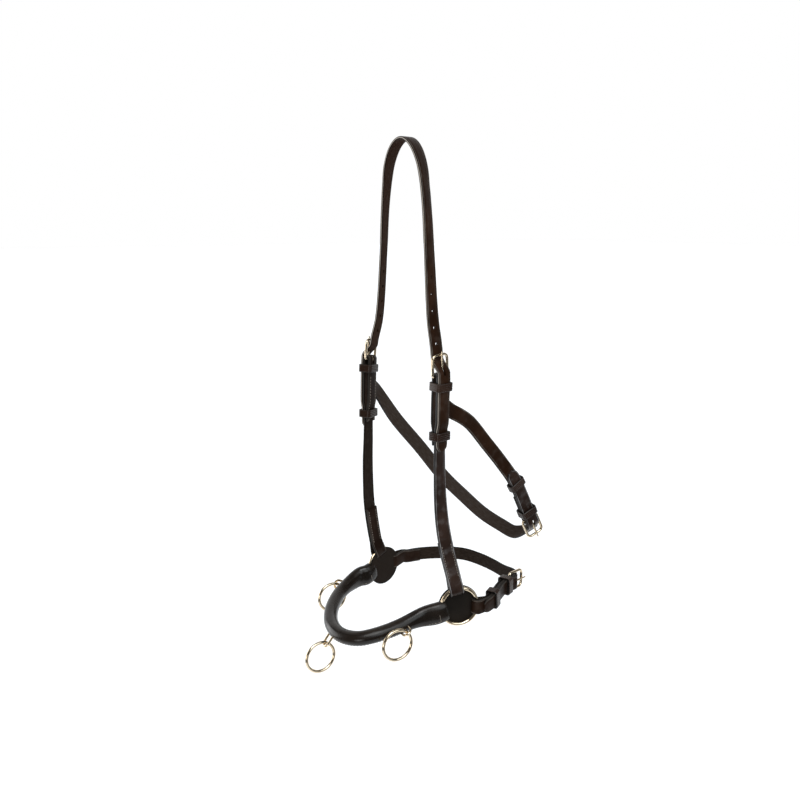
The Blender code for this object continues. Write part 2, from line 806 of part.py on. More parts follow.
def ring_matrix(centre, forward, up, outward):
    rotation = Matrix((forward, up, outward)).transposed()
    if rotation.determinant() < 0:
        rotation = Matrix((-forward, up, outward)).transposed()
    return Matrix.Translation(centre) @ rotation.to_4x4()


def on_ring(ring, dip, ahead, turn_in=0.0):
    """Point on a ring's wire, in front of its centre or behind, lowered by an angle.

    Then the way a strap leaves the ring there, turned in from the ring's own plane.
    """
    centre, forward, up, outward = ring
    direction = forward * (ahead * math.cos(dip)) - up * math.sin(dip)
    leaving = direction * math.cos(turn_in) - outward * math.sin(turn_in)
    return centre + direction * RING_RADIUS, leaving


def chin_point(row):
    x, y, z = row
    return Vector((-RING_SET_BACK + x * CHIN_LENGTH, y * HALF_WIDTH,
                   -HEAD_DROP - CHEEK_LENGTH - RING_RADIUS + z * CHIN_FALL))


def jowl_point(row):
    start = -HEAD_DROP - JOWL_BELOW_BAR
    return Vector((row[0] * JOWL_LENGTH, row[1] * HALF_WIDTH, start - row[2] * JOWL_FALL))


def noseband_line(near, far):
    near_wire, near_out = on_ring(near, TAB_DIP, 1)
    far_wire, far_out = on_ring(far, TAB_DIP, 1)
    base_x = -RING_SET_BACK
    base_z = near[0].z
    points = [near_wire - near_out * TAB_INSIDE_RING, near_wire, near_wire + near_out * TAB_INSIDE_RING]
    for x, y, z in NOSE_SHARES:
        points.append(Vector((base_x + x * NOSE_LENGTH, y * HALF_WIDTH, base_z - z * NOSE_FALL)))
    points += [far_wire + far_out * TAB_INSIDE_RING, far_wire, far_wire - far_out * TAB_INSIDE_RING]
    return Line(points)


def oval_section(half_across, half_deep, squareness, sides):
    """Rounded outline: a circle where squareness is ROUND, nearer a box above it."""
    outline = []
    for k in range(sides):
        angle = 2 * math.pi * (k + 0.5) / sides
        c = math.cos(angle)
        s = math.sin(angle)
        power = ROUND / squareness
        outline.append((half_across * math.copysign(abs(c) ** power, c),
                        half_deep * math.copysign(abs(s) ** power, s)))
    return outline


def nose_section(from_end, sides):
    """Outline across the noseband at a distance from its end: a flat tab, then a round roll."""
    roll = ease(0.0, 1.0, (from_end - 2 * TAB_INSIDE_RING) / TAB_LENGTH)
    trim = ease(TAB_END_SHARE, 1.0, from_end / TAB_INSIDE_RING)
    across = (TAB_HALF_HEIGHT * (1 - roll) + ROLL_RADIUS * roll) * trim
    deep = (TAB_HALF_THICK * (1 - roll) + ROLL_RADIUS * roll) * trim
    return oval_section(across, deep, TAB_SQUARENESS * (1 - roll) + ROUND * roll, sides)


def noseband_solid(name, line, collection):
    """Rolled tube that flattens into a tab at each ring."""
    rows = []
    sections = []
    reach = 2 * TAB_INSIDE_RING + TAB_LENGTH
    ends = steps_between(0.0, reach, TAB_STEP)
    middle = steps_between(reach, line.total - reach, ROLL_STEP)[1:-1]
    other = [line.total - s for s in reversed(ends)]
    for s in ends + middle + other:
        sections.append(nose_section(min(s, line.total - s), ROLL_SIDES))
        rows.append(stations(line, [(s, 0.0)])[0])
    return loft(name, rows, sections, LEATHER_ROLLED, collection)


def core_solid(name, line, extra, vent, collection, spec):
    """Filling of the noseband; with extra it is the bore, run out to each ring as a vent."""
    full = ROLL_RADIUS - ROLL_WALL - SEAT_GAP
    marks = []
    for s in steps_between(CORE_START, line.total - CORE_START, ROLL_STEP):
        inside = min(s, line.total - s) - CORE_START
        marks.append((s, ease(CORE_END_RADIUS, full, inside / CORE_TAPER) + extra))
    if vent:
        marks.insert(0, (TAB_INSIDE_RING, VENT_RADIUS))
        marks.append((line.total - TAB_INSIDE_RING, VENT_RADIUS))
    sections = [oval_section(radius, radius, ROUND, CORE_SIDES) for _, radius in marks]
    rows = stations(line, [(s, 0.0) for s, _ in marks])
    return loft(name, rows, sections, spec, collection)


def nose_eye(prefix, line, s, above, angles, parts, cutters, noseband, core):
    """Wire eye standing out of the roll, with its ring hanging through it."""
    point, tangent, outward, _ = line.frame(s)
    lift, tilt, turn, lean = [math.radians(angle) for angle in angles]
    level = Vector((outward.x, outward.y, 0)).normalized()
    stand = level * math.cos(lift) + UP * math.sin(lift)
    along = (tangent - stand * tangent.dot(stand)).normalized()
    across = along * math.cos(tilt) + stand.cross(along) * math.sin(tilt)
    ahead = Vector((math.cos(turn), -math.sin(turn), 0))
    wire_run = ahead * math.cos(lean) + UP * math.sin(lean)
    down = ahead * math.sin(lean) - UP * math.cos(lean)
    half = EYE_SPREAD / 2
    bend = point + stand * (ROLL_RADIUS + above)
    root = point + stand * (ROLL_RADIUS - EYE_ROOT_DEPTH)
    wire = [root + across * half]
    for k in range(EYE_CUTS + 1):
        angle = math.pi * k / EYE_CUTS
        wire.append(bend + across * (half * math.cos(angle)) + stand * (half * math.sin(angle)))
    wire.append(root - across * half)
    tube(prefix + "_eye", wire, EYE_WIRE, BRASS, parts)
    depth = above + EYE_ROOT_DEPTH
    middle = point + stand * (ROLL_RADIUS - EYE_ROOT_DEPTH - SEAT_GAP + depth / 2)
    turn_to = stand.to_track_quat("Z", "Y").to_matrix().to_4x4()
    for k, sign in enumerate((1, -1)):
        name = prefix + "_leg_hole_" + str(k)
        mesh = drum_mesh(name, EYE_WIRE / 2 + SEAT_GAP, depth, HOLE_SIDES)
        place = Matrix.Translation(middle + across * (half * sign)) @ turn_to
        hole = add_cutter(name, mesh, place, cutters)
        cut(noseband, hole)
        cut(core, hole)
    ring_radius = (NOSE_RING_INSIDE + NOSE_RING_WIRE) / 2
    hang = bend + stand * (half - EYE_WIRE / 2 - NOSE_RING_WIRE / 2 - EYE_PLAY)
    rotation = Matrix((wire_run, down, wire_run.cross(down))).transposed().to_4x4()
    ring = torus(prefix + "_ring", ring_radius, NOSE_RING_WIRE, BRASS, parts, Matrix.Identity(4))
    ring.data.transform(Matrix.Translation((0, ring_radius, 0)))
    ring.matrix_world = Matrix.Translation(hang) @ rotation


def safe(name, ring, notches, parts, cutters):
    """Round leather patch behind a side ring, notched for the straps that wrap the ring."""
    centre, forward, up, outward = ring
    front = -(SIDE_RING_WIRE / 2 + SEAT_GAP)
    place = ring_matrix(centre, forward, up, outward)
    radius = RING_RADIUS + SIDE_RING_WIRE / 2 + SAFE_OVERHANG
    mesh = drum_mesh(name, radius, SAFE_THICK, RING_SEGMENTS, (0, 0, front - SAFE_THICK / 2))
    smooth(mesh, SAFE_SMOOTH_ANGLE)
    item = add_mesh_object(name, mesh, LEATHER, parts, place)
    for k, (direction, width, depth) in enumerate(notches):
        inner = RING_RADIUS - depth
        long = radius - inner + CUT_OVERRUN
        notch = box_mesh(name + "_notch", long, width, SAFE_THICK + CUT_OVERRUN,
                         (inner + long / 2, 0, front - SAFE_THICK / 2))
        across = outward.cross(direction)
        turned = Matrix((direction, across, outward)).transposed().to_4x4()
        cut(item, add_cutter(name + "_notch_" + str(k), notch, Matrix.Translation(centre) @ turned, cutters))
    return item


def reversed_line(line):
    """The same line measured from its other end."""
    copy = Line.__new__(Line)
    copy.points = list(reversed(line.points))
    copy.normals = list(reversed(line.normals))
    copy.tangents = [-t for t in reversed(line.tangents)]
    copy.total = line.total
    copy.lengths = [line.total - d for d in reversed(line.lengths)]
    return copy


def jowl_start(line, chape):
    """Where a jowl strap lies between the cheek's layers, and the faces there."""
    point, tangent, normal, side = line.frame(chape.bar - JOWL_BELOW_BAR)
    rear = side if side.x < 0 else -side
    way = rear * math.cos(JOWL_SLOPE) - tangent * math.sin(JOWL_SLOPE)
    marks = (JOWL_TUCK, (JOWL_TUCK + JOWL_IN_PLANE) / 2, JOWL_IN_PLANE)
    return [point + way * d for d in marks], [normal.copy() for _ in marks]


def chin_route(rings):
    """The chin straps as one line, from the near ring past the buckle to the far ring."""
    near_wire, near_out = on_ring(rings["near"], NEAR_CHIN_DIP, -1, NEAR_CHIN_TURN_IN)
    far_wire, far_out = on_ring(rings["far"], FAR_CHIN_DIP, -1, FAR_CHIN_TURN_IN)
    points = [near_wire, near_wire + near_out * RING_NECK]
    points += [chin_point(row) for row in CHIN_NEAR_SHARES]
    bar_row = len(points) + 1
    way = Vector(CHIN_WAY).normalized()
    points += corner(chin_point(CHIN_BAR_SHARES), way, way.cross(UP))
    points += [chin_point(row) for row in CHIN_FAR_SHARES]
    points += [far_wire + far_out * RING_NECK, far_wire]
    line = Line(points, [t.cross(UP) for t in Line(points).tangents[::LINE_STEPS]])
    bar_at = line.lengths[LINE_STEPS * bar_row]
    return Chape(line, bar_at, CHIN_TURN_BACK, CHIN_BILLET_TAIL, CHIN_RING_TURN_BACK)


def chin_strap_rows(chape):
    """Stations of the chin strap, from its turned end at the far ring to its billet's tip."""
    stop = chape.line.total - (chape.bar + BILLET_CROSS_END)
    knots = filled_in([RING_NECK / 2, RING_NECK, CHIN_RING_TURN_BACK, stop])[:-1]
    path = ring_fold([s for s in knots if s <= CHIN_RING_TURN_BACK])
    for s in knots:
        height = ring_side(s)
        if s > CHIN_RING_TURN_BACK:
            share = (s - CHIN_RING_TURN_BACK) / (stop - CHIN_RING_TURN_BACK)
            height = ease(SEWN_LAYER, -BAR_LAYER, share)
        path.append((s, height))
    rows = stations(reversed_line(chape.line), path, flip=True)
    return rows + list(reversed(stations(chape.line, chape.billet())))


def jowl_route(chapes):
    """The jowl straps as one line, from inside the near cheek past the buckle to the far cheek."""
    points, faces = jowl_start(chapes["near"].line, chapes["near"])
    far_points, far_faces = jowl_start(chapes["far"].line, chapes["far"])
    points += [jowl_point(row) for row in JOWL_NEAR_SHARES]
    faces += [Vector(row[3]) for row in JOWL_NEAR_SHARES]
    bar_row = len(points) + 1
    way = Vector(JOWL_WAY).normalized()
    face = Vector(JOWL_BAR_FACE)
    face = (face - way * face.dot(way)).normalized()
    points += corner(jowl_point(JOWL_BAR_SHARES), way, face)
    faces += [face, face, face]
    for k in range(1, CORNER_STEPS + 1):
        angle = math.pi / 2 * k / CORNER_STEPS
        faces.append(face * math.cos(angle) + way * math.sin(angle))
    points += [jowl_point(row) for row in JOWL_FAR_SHARES] + list(reversed(far_points))
    faces += [Vector(row[3]) for row in JOWL_FAR_SHARES] + list(reversed(far_faces))
    line = Line(points, faces)
    return Chape(line, line.lengths[LINE_STEPS * bar_row], JOWL_TURN_BACK, JOWL_BILLET_TAIL)


def jowl_strap_rows(chape):
    """Stations of the far jowl strap, from its billet's tip round to the far cheek."""
    path = chape.billet()
    start = chape.bar + BILLET_CROSS_END
    end = chape.line.total
    for s in steps_between(start + STRAP_STEP / 2, end, STRAP_STEP):
        path.append((s, ease(-BAR_LAYER, 0.0, (s - start) / (end - JOWL_IN_PLANE - start))))
    return stations(chape.line, path)


def headpiece_rows(chapes):
    """Stations of the headpiece, from the far billet's tip over the poll to the near one's."""
    rows = []
    for side in ("far", "near"):
        chape = chapes[side]
        path = chape.billet()
        for s in steps_between(chape.bar + BILLET_CROSS_END + STRAP_STEP, chape.line.total, STRAP_STEP):
            path.append((s, head_height(chape, s)))
        half = stations(chape.line, path, flip=(side == "near"))
        rows += half if side == "far" else list(reversed(half))[1:]
    return rows


def head_height(chape, s):
    """The headpiece lies behind the frame's head and eases to the middle plane at the poll."""
    start = chape.bar + BILLET_CROSS_END
    return ease(-BAR_LAYER, 0.0, (s - start) / (chape.line.total - start))


def main():
    clear_scene()
    parts = new_collection("lunging_cavesson")
    cutters = new_collection("cutters")

    rings = {"near": ring_frame(1, NEAR_TOE_IN), "far": ring_frame(-1, FAR_TOE_IN)}
    near_line = side_line(1, rings["near"], NEAR_CHEEK_LEAN, NEAR_CHEEK_SHARES, NEAR_HEAD_SHARES)
    far_line = side_line(-1, rings["far"], FAR_CHEEK_LEAN, FAR_CHEEK_SHARES, FAR_HEAD_SHARES)

    # Headpiece and cheeks
    chapes = {}
    for side, line in (("near", near_line), ("far", far_line)):
        chapes[side] = Chape(line, bar_distance(line), CHEEK_TURN_BACK, CHEEK_BILLET_TAIL,
                             RING_TURN_BACK, CHEEK_FILLED)
    headpiece = strap("headpiece", headpiece_rows(chapes), parts, start_tip=True, end_tip=True)
    for side, chape in chapes.items():
        cheek = strap(side + "_cheekpiece", stations(chape.line, chape.path()), parts)
        buckle(side + "_cheek", chape, parts, cutters, cheek, headpiece)
        for k in HEAD_HOLES:
            s = chape.bar + HOLE_SPACING * k
            cut(headpiece, billet_hole_cutter(side + "_head_hole_" + str(k), chape.line, s,
                                              head_height(chape, s), cutters))

    # Noseband, its filling, eyes and rings
    nose = noseband_line(rings["near"], rings["far"])
    noseband = noseband_solid("noseband", nose, parts)
    core = core_solid("noseband_core", nose, 0.0, False, parts, CORE_CORD)
    bore = core_solid("noseband_bore", nose, SEAT_GAP, True, cutters, CORE_CORD)
    bore.hide_render = True
    bore.display_type = "WIRE"
    cut(noseband, bore)
    for side, ring in rings.items():
        torus(side + "_side_ring", RING_RADIUS, SIDE_RING_WIRE, BRASS, parts, ring_matrix(*ring))
        tunnel = torus(side + "_ring_tunnel", RING_RADIUS, SIDE_RING_WIRE + 2 * SLIDE_GAP, None, cutters,
                       ring_matrix(*ring))
        tunnel.hide_render = True
        tunnel.display_type = "WIRE"
        cut(noseband, tunnel)
    for prefix, share, height_share, *angles in NOSE_EYE_SHARES:
        nose_eye(prefix, nose, nose.total * share, EYE_STAND * height_share, angles,
                 parts, cutters, noseband, core)

    # Chin straps
    chin_chape = chin_route(rings)
    chin_buckle_strap = strap("chin_buckle_strap", stations(chin_chape.line, chin_chape.path()), parts)
    chin_strap = strap("chin_strap", chin_strap_rows(chin_chape), parts, end_tip=True)
    buckle("chin", chin_chape, parts, cutters, chin_buckle_strap, chin_strap)

    # Jowl straps
    jowl_chape = jowl_route(chapes)
    near_jowl = strap("near_jowl_strap", stations(jowl_chape.line, jowl_chape.path()), parts)
    far_jowl = strap("far_jowl_strap", jowl_strap_rows(jowl_chape), parts, start_tip=True)
    buckle("jowl", jowl_chape, parts, cutters, near_jowl, far_jowl)

    # Keepers
    for prefix, chape, running in (("near_cheek", chapes["near"], CHEEK_RUNNING_KEEPER),
                                   ("far_cheek", chapes["far"], CHEEK_RUNNING_KEEPER),
                                   ("chin", chin_chape, CHIN_RUNNING_KEEPER),
                                   ("jowl", jowl_chape, JOWL_RUNNING_KEEPER)):
        for word, back_by, travel in (("fixed", FIXED_KEEPER, 0.0), ("running", running, KEEPER_TRAVEL)):
            s = chape.bar - back_by
            room = chape.room(s, KEEPER_LENGTH / 2 + KEEPER_EASE + travel)
            keeper(prefix + "_" + word + "_keeper", chape.line, s, room, parts)

    # Safes behind the side rings
    strap_notch = STRAP_WIDTH + 2 * SLIDE_GAP
    nose_notch = 2 * TAB_HALF_HEIGHT + 2 * SLIDE_GAP
    fold_reach = RING_LAYER + STRAP_THICK / 2 + SEAT_GAP
    for side, lean, dip, turn_in in (("near", NEAR_CHEEK_LEAN, NEAR_CHIN_DIP, NEAR_CHIN_TURN_IN),
                                     ("far", FAR_CHEEK_LEAN, FAR_CHIN_DIP, FAR_CHIN_TURN_IN)):
        _, forward, up, _ = rings[side]
        cheek_way = up * math.cos(lean) + forward * math.sin(lean)
        nose_way = forward * math.cos(TAB_DIP) - up * math.sin(TAB_DIP)
        chin_way = -forward * math.cos(dip) - up * math.sin(dip)
        notches = [(cheek_way, strap_notch, fold_reach + RING_SAG / 2),
                   (nose_way, nose_notch, TAB_INSIDE_RING + SLIDE_GAP),
                   (chin_way, strap_notch, (fold_reach + RING_SAG / 2) * math.cos(turn_in))]
        safe(side + "_ring_safe", rings[side], notches, parts, cutters)


main()
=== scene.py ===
"""Looks of the lunging cavesson: fine leather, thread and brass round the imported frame.

The routes of the straps are those of the part, in metres and in the same frame.
"""
import bisect
import math

import bmesh
import bpy
from mathutils import Matrix, Vector, noise


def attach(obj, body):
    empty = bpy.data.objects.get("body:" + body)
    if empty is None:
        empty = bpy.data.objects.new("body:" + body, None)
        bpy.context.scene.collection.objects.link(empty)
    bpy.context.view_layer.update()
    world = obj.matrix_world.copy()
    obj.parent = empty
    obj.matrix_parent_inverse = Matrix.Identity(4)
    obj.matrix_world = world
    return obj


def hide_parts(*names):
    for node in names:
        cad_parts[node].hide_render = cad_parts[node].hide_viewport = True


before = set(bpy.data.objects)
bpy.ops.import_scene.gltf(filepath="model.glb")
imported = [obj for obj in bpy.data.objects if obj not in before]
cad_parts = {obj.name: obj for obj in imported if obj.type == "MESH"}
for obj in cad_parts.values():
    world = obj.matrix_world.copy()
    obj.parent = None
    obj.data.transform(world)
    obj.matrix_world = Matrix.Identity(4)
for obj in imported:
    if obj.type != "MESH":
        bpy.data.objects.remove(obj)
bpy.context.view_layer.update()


# Leather
STRAP_WIDTH = 0.016
STRAP_THICK = 0.0028
SEAT_GAP = 0.0003
SLIDE_GAP = 0.0005
LAYER_GAP = 0.0001

# Overall layout
HALF_WIDTH = 0.076
HEAD_DROP = 0.246
HEAD_SWAY = 0.018
CHEEK_LENGTH = 0.238
CHEEK_SWAY = 0.020
RING_SET_BACK = 0.020
NOSE_LENGTH = 0.114
NOSE_FALL = 0.028
CHIN_LENGTH = 0.116
CHIN_FALL = 0.004
JOWL_LENGTH = 0.150
JOWL_FALL = 0.182

# Side rings and the leather safes behind them
SIDE_RING_INSIDE = 0.038
SIDE_RING_WIRE = 0.004
SAFE_OVERHANG = 0.0004
SAFE_THICK = 0.0022

# Noseband
ROLL_RADIUS = 0.0082
TAB_HALF_HEIGHT = 0.0124
TAB_HALF_THICK = 0.0068
TAB_INSIDE_RING = 0.0062
TAB_LENGTH = 0.044
TAB_DIP = math.radians(13)
TAB_SQUARENESS = 2.5
TAB_END_SHARE = 0.88
ROUND = 2

# Nose rings and their wire eyes
NOSE_RING_INSIDE = 0.0302
NOSE_RING_WIRE = 0.0036
EYE_WIRE = 0.0028
EYE_SPREAD = 0.0100
EYE_STAND = 0.0045
EYE_ROOT_DEPTH = 0.0062
EYE_PLAY = 0.0007

# Buckles
BUCKLE_WIRE = 0.0032
BUCKLE_INSIDE_WIDTH = 0.0174
BUCKLE_HEIGHT = 0.0226
BUCKLE_FOOT_RADIUS = 0.0026
BUCKLE_HEAD_RADIUS = 0.0050
TONGUE_WIRE = 0.0024
TONGUE_OVERHANG = 0.0030
TONGUE_SLOT_CLEARANCE = 0.0005
TONGUE_SLOT_REACH = 0.0054
BILLET_SLOT_START = 0.0012
BILLET_SLOT_END = 0.0190
BILLET_CROSS_START = 0.0030
BILLET_CROSS_END = 0.0182
HOLE_DIAMETER = 0.0038
HOLE_SPACING = 0.0172
CUT_OVERRUN = 0.004

# Keepers
KEEPER_WALL = 0.0019
KEEPER_LENGTH = 0.0092
KEEPER_TRAVEL = 0.0040
KEEPER_EASE = 0.0025
KEEPER_CORNER = 0.0016

# Lengths along the straps, from the bar of each buckle
CHEEK_BILLET_TAIL = 0.080
CHEEK_TURN_BACK = 0.076
CHEEK_FILLED = 0.048
RING_TURN_BACK = 0.060
FIXED_KEEPER = 0.0108
CHEEK_RUNNING_KEEPER = 0.0640
JOWL_BELOW_BAR = 0.028
JOWL_TUCK = 0.002
JOWL_IN_PLANE = 0.022
JOWL_SLOPE = math.radians(33)
JOWL_BILLET_TAIL = 0.072
JOWL_TURN_BACK = 0.036
JOWL_RUNNING_KEEPER = 0.0530
CHIN_BILLET_TAIL = 0.072
CHIN_TURN_BACK = 0.034
CHIN_RING_TURN_BACK = 0.040
CHIN_RUNNING_KEEPER = 0.0490
# The slack straps turn a corner inside the frame
CORNER_LEAD = 0.010
CORNER_START = 0.012
CORNER_RADIUS = 0.012
CORNER_STEPS = 3
TIP_LENGTH = 0.0085
TIP_FIRST_STEP = 0.0028
TIP_BLUNT_SHARE = 0.45

# Facets
STRAP_STEP = 0.0030
STRAP_STEP_MIN = 0.0018
FOLD_STEPS = 16
CROSS_STEPS = 20
LINE_STEPS = 12
ROOM_STEP_SHARE = 1 / 3

# Punched holes of the headpiece, counted from each buckle's bar
HEAD_HOLES = range(2, 7)

UP = Vector((0, 0, 1))

# x of CHEEK_SWAY, y of HALF_WIDTH, z of CHEEK_LENGTH up from the ring, and the turn of the face
NEAR_CHEEK_SHARES = [
    (-0.16, 0.965, 0.20, 17),
    (0.10, 0.955, 0.30, 10),
    (0.28, 0.945, 0.42, 0),
    (0.35, 0.935, 0.57, -8),
    (0.36, 0.93, 0.68, -11),
    (0.35, 0.93, 0.80, -10),
    (0.34, 0.935, 0.91, -8),
]
FAR_CHEEK_SHARES = [
    (-0.13, 0.96, 0.20, 8),
    (0.03, 0.945, 0.29, 9),
    (0.10, 0.935, 0.39, 12),
    (0.12, 0.93, 0.50, 15),
    (0.09, 0.925, 0.60, 19),
    (0.06, 0.925, 0.73, 23),
    (0.03, 0.93, 0.87, 25),
]
# x of HEAD_SWAY, y of HALF_WIDTH, z of HEAD_DROP down from the poll, turn and lift of the face
NEAR_HEAD_SHARES = [
    (0.38, 0.95, 1.00, -5, 0),
    (0.60, 0.97, 0.866, -5, 2),
    (0.84, 0.965, 0.752, -8, 3),
    (0.98, 0.91, 0.48, -18, 5),
    (0.88, 0.81, 0.305, -23, 10),
    (0.65, 0.67, 0.195, -25, 22),
    (0.38, 0.51, 0.117, -22, 38),
    (0.10, 0.25, 0.037, -15, 62),
]
FAR_HEAD_SHARES = [
    (-0.07, 0.945, 1.00, 25, 0),
    (-0.26, 0.955, 0.90, 26, 1),
    (-0.64, 0.955, 0.80, 27, 2),
    (-0.93, 0.91, 0.50, 30, 5),
    (-0.82, 0.80, 0.295, 28, 10),
    (-0.52, 0.63, 0.178, 24, 22),
    (-0.20, 0.45, 0.102, 20, 40),
    (0.00, 0.22, 0.030, 16, 65),
]
# x of NOSE_LENGTH and z of NOSE_FALL from the rings, y of HALF_WIDTH
NOSE_SHARES = [
    (0.34, 0.76, 0.35),
    (0.47, 0.71, 0.47),
    (0.62, 0.66, 0.62),
    (0.79, 0.575, 0.78),
    (0.92, 0.44, 0.92),
    (0.985, 0.25, 0.99),
    (1.00, 0.03, 1.00),
    (0.955, -0.24, 0.95),
    (0.86, -0.49, 0.85),
    (0.74, -0.69, 0.73),
    (0.61, -0.845, 0.60),
    (0.45, -0.95, 0.44),
    (0.30, -0.99, 0.29),
]
# Each side: sign of its y, then in degrees how far its ring toes in, how far the cheek leans where
# it leaves the ring, and how far the chin strap dips and turns in there
SIDES = {
    "near": (1, 22, 12, 4, 25, NEAR_CHEEK_SHARES, NEAR_HEAD_SHARES),
    "far": (-1, 9, 17, -3, 0, FAR_CHEEK_SHARES, FAR_HEAD_SHARES),
}
# x of CHIN_LENGTH and z of CHIN_FALL from the rings, y of HALF_WIDTH, each strap from its
# ring to the buckle's bar; the bar comes with the way of the strap there
CHIN_NEAR_SHARES = [
    (-0.431, 1.013, 0.0),
    (-0.569, 0.888, 0.10),
]
CHIN_BAR_SHARES = (-0.776, 0.776, 0.25)
CHIN_WAY = (-0.98, -0.17, 0.0)
CHIN_FAR_SHARES = [
    (-0.985, 0.33, -0.35),
    (-1.00, 0.00, -0.35),
    (-0.985, -0.32, -0.30),
    (-0.925, -0.62, -0.20),
    (-0.75, -0.87, -0.10),
    (-0.52, -1.03, 0.0),
    (-0.37, -1.08, 0.0),
]
# x of JOWL_LENGTH, y of HALF_WIDTH, z of JOWL_FALL below where the straps leave the cheeks;
# then the outer face as a direction
JOWL_NEAR_SHARES = [
    (-0.262, 0.83, 0.142, (-0.10, 0.99, 0.00)),
    (-0.446, 0.80, 0.297, (0.00, 0.99, 0.05)),
    (-0.614, 0.785, 0.447, (0.05, 0.99, 0.05)),
    (-0.744, 0.78, 0.579, (0.08, 0.99, 0.05)),
]
JOWL_BAR_SHARES = (-0.927, 0.78, 0.858)
JOWL_WAY = (-0.42, 0.08, -0.90)
JOWL_BAR_FACE = (0.20, 0.97, 0.00)
JOWL_FAR_SHARES = [
    (-0.99, 0.36, 1.02, (-0.85, 0.15, -0.40)),
    (-0.945, 0.13, 0.99, (-0.80, -0.10, -0.45)),
    (-0.865, -0.17, 0.922, (-0.70, -0.45, -0.30)),
    (-0.79, -0.53, 0.817, (-0.55, -0.75, -0.15)),
    (-0.66, -0.71, 0.687, (-0.40, -0.88, 0.00)),
    (-0.47, -0.85, 0.472, (-0.30, -0.92, 0.00)),
    (-0.25, -0.95, 0.247, (-0.10, -0.95, 0.00)),
]

# Eyes of the noseband: share of its length from the near ring, height as a share of
# EYE_STAND, then in degrees the lift of the eye and the tilt of its legs, the turn of the
# ring's face from the side toward the front, and the ring's lean
NOSE_EYE_SHARES = [
    ("near_nose", 0.192, 1.0, -8, 20, 8, 42),
    ("centre_nose", 0.512, 1.8, -54, 0, 4, 26),
    ("far_nose", 0.84, 1.0, 0, -38, 8, 24),
]


class Line:
    """A smooth centre line with a face direction at each point, measured along its length."""

    def __init__(self, points, faces=None):
        self.points = []
        normals = []
        last = len(points) - 1
        for i in range(last):
            before = points[max(i - 1, 0)]
            after = points[min(i + 2, last)]
            for k in range(LINE_STEPS):
                t = k / LINE_STEPS
                self.points.append(spline(before, points[i], points[i + 1], after, t))
                if faces:
                    normals.append(faces[i].lerp(faces[i + 1], t))
        self.points.append(points[last].copy())
        self.lengths = lengths_along(self.points)
        self.total = self.lengths[-1]
        steps = zip(self.points[:1] + self.points, self.points[1:] + self.points[-1:])
        self.tangents = [(b - a).normalized() for a, b in steps]
        normals = normals + [faces[last]] if faces else [UP.cross(t) for t in self.tangents]
        self.normals = [square_to(t, n) for t, n in zip(self.tangents, normals)]

    def frame(self, s):
        """Point, direction, outward face and side vector at a distance s along the line."""
        i = min(bisect.bisect_left(self.lengths, s, 1), len(self.lengths) - 1) - 1
        span = self.lengths[i + 1] - self.lengths[i]
        share = (s - self.lengths[i]) / span
        inside = min(max(share, 0.0), 1.0)
        tangent = self.tangents[i].lerp(self.tangents[i + 1], inside).normalized()
        point = self.points[i].lerp(self.points[i + 1], inside) + tangent * ((share - inside) * span)
        normal = square_to(tangent, self.normals[i].lerp(self.normals[i + 1], inside))
        return point, tangent, normal, tangent.cross(normal)

    def matrix(self, s):
        """Local frame at s: X across the strap, Y along it, Z out of its face."""
        point, tangent, normal, side = self.frame(s)
        return placed(point, side, tangent, normal)


def lengths_along(points):
    """Distance of each point from the first one, along the points."""
    lengths = [0.0]
    for a, b in zip(points, points[1:]):
        lengths.append(lengths[-1] + (b - a).length)
    return lengths


def square_to(axis, vector):
    """Direction nearest to a vector that is at a right angle to an axis."""
    return (vector - axis * vector.dot(axis)).normalized()


def turned(start, toward, angle):
    """Direction turned by an angle from one direction toward another."""
    return start * math.cos(angle) + toward * math.sin(angle)


def placed(point, x, y, z):
    """Frame at a point, from its three axes."""
    return Matrix.Translation(point) @ Matrix((x, y, z)).transposed().to_4x4()


def scaled(row, origin, scale):
    """Point from a row that starts with three shares: each times its scale, from an origin."""
    return Vector([start + share * unit for start, share, unit in zip(origin, row, scale)])


def turns(count, offset=0.0):
    """Angles evenly round a circle."""
    return [2 * math.pi * (k + offset) / count for k in range(count)]


def spline(p0, p1, p2, p3, t):
    """Point on the centripetal Catmull-Rom curve between p1 and p2."""
    d2 = math.sqrt((p2 - p1).length)
    d1 = math.sqrt((p1 - p0).length) or d2
    d3 = math.sqrt((p3 - p2).length) or d2
    m1 = p2 - p1
    m2 = p2 - p1
    if p0 != p1:
        m1 = ((p1 - p0) / d1 - (p2 - p0) / (d1 + d2) + (p2 - p1) / d2) * d2
    if p3 != p2:
        m2 = ((p2 - p1) / d2 - (p3 - p1) / (d2 + d3) + (p3 - p2) / d3) * d2
    t2 = t * t
    t3 = t2 * t
    return p1 * (2 * t3 - 3 * t2 + 1) + m1 * (t3 - 2 * t2 + t) + p2 * (3 * t2 - 2 * t3) + m2 * (t3 - t2)


def ease(a, b, t):
    """Value that leaves a and reaches b without a kink."""
    t = min(max(t, 0.0), 1.0)
    return a + (b - a) * t * t * (3 - 2 * t)


def steps_between(a, b, step):
    """Evenly spaced values from a to b, about one step apart, both ends included."""
    count = max(2, int(round(abs(b - a) / step)) + 1)
    return [a + (b - a) * k / (count - 1) for k in range(count)]


def filled_in(marks):
    """The marks in order, with even steps filled in between them."""
    marks = sorted(marks)
    rows = [marks[0]]
    for a, b in zip(marks, marks[1:]):
        if b - a > STRAP_STEP_MIN:
            rows += steps_between(a, b, STRAP_STEP)[1:]
    return rows


def corner_ways(face, way):
    """Directions in even turns from a face to the way of a strap, the first left out."""
    return [turned(face, way, math.pi / 2 * k / CORNER_STEPS) for k in range(1, CORNER_STEPS + 1)]


